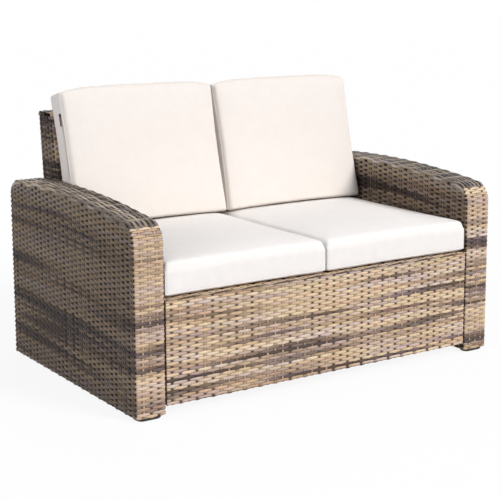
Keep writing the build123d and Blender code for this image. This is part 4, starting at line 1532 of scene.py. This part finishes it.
# Studio
def direction(azimuth, elevation):
    """Towards an azimuth from the front and an elevation, in degrees."""
    azimuth, elevation = math.radians(azimuth), math.radians(elevation)
    flat = math.cos(elevation)
    return Vector((math.sin(azimuth) * flat, -math.cos(azimuth) * flat, math.sin(elevation)))


def shown_as(graph, lighting, shown, output):
    """Gives the output one shader for light, and another where it is seen, also in a reflection or glass."""
    rays = graph.add("LightPath", {}).node.outputs
    other = graph.number("MAXIMUM", rays["Is Glossy Ray"], rays["Is Transmission Ray"])
    seen = graph.number("MAXIMUM", other, rays["Is Camera Ray"])
    mixed = graph.add("MixShader", {"Fac": seen, 1: lighting.outputs[0], 2: shown})
    graph.fill(graph.tree.nodes[output], {"Surface": mixed})


def studio():
    scene = bpy.context.scene
    scene.view_settings.view_transform = "Standard"
    world = bpy.data.worlds.new("studio")
    scene.world = world
    world.use_nodes = True
    graph = Graph(world.node_tree)
    background = world.node_tree.nodes["Background"]
    graph.fill(background, {"Color": WORLD_COLOUR, "Strength": WORLD_STRENGTH})
    white = graph.add("Background", {"Color": WHITE, "Strength": 1.0})
    shown_as(graph, background, white, "World Output")

    corners = [(x * FLOOR_REACH, y * FLOOR_REACH, 0) for x, y in ((-1, -1), (1, -1), (1, 1), (-1, 1))]
    floor = smooth_mesh("floor", corners, [(0, 1, 2, 3)])
    material, graph, shader = new_material("floor_white")
    graph.fill(shader, {"Base Color": FLOOR_COLOUR, "Roughness": FLOOR_ROUGHNESS, "Specular IOR Level": 0.0})
    pale = graph.add("BsdfDiffuse", {"Color": WHITE})
    glow = graph.add("Emission", {"Strength": 1.0})
    shown = graph.add("MixShader", {"Fac": FLOOR_GLOW_SHARE, 1: pale, 2: glow})
    shown_as(graph, shader, shown, "Material Output")
    floor.data.materials.append(material)

    for name, azimuth, elevation, strength, colour, softness in SUNS:
        data = bpy.data.lights.new(name, "SUN")
        data.energy = strength
        data.color = colour
        data.angle = math.radians(softness)
        sun = placed(name, data)
        sun.rotation_mode = "QUATERNION"
        sun.rotation_quaternion = direction(azimuth, elevation).to_track_quat("Z", "Y")


def camera():
    data = bpy.data.cameras.new("camera")
    data.lens = CAMERA_LENS
    data.shift_y = CAMERA_SHIFT
    data.clip_start, data.clip_end = CAMERA_CLIP
    camera_object = placed("camera", data)
    back = direction(CAMERA_AZIMUTH, CAMERA_ELEVATION)
    right = (-back).cross(Vector((0, 0, 1))).normalized()
    up = back.cross(right)
    roll = math.radians(CAMERA_ROLL)
    right_rolled = math.cos(roll) * right + math.sin(roll) * up
    up_rolled = -math.sin(roll) * right + math.cos(roll) * up
    turn = Matrix((right_rolled, up_rolled, back)).transposed()
    camera_object.matrix_world = Matrix.Translation(CAMERA_PLACE) @ turn.to_4x4()
    bpy.context.scene.camera = camera_object


studio()
camera()
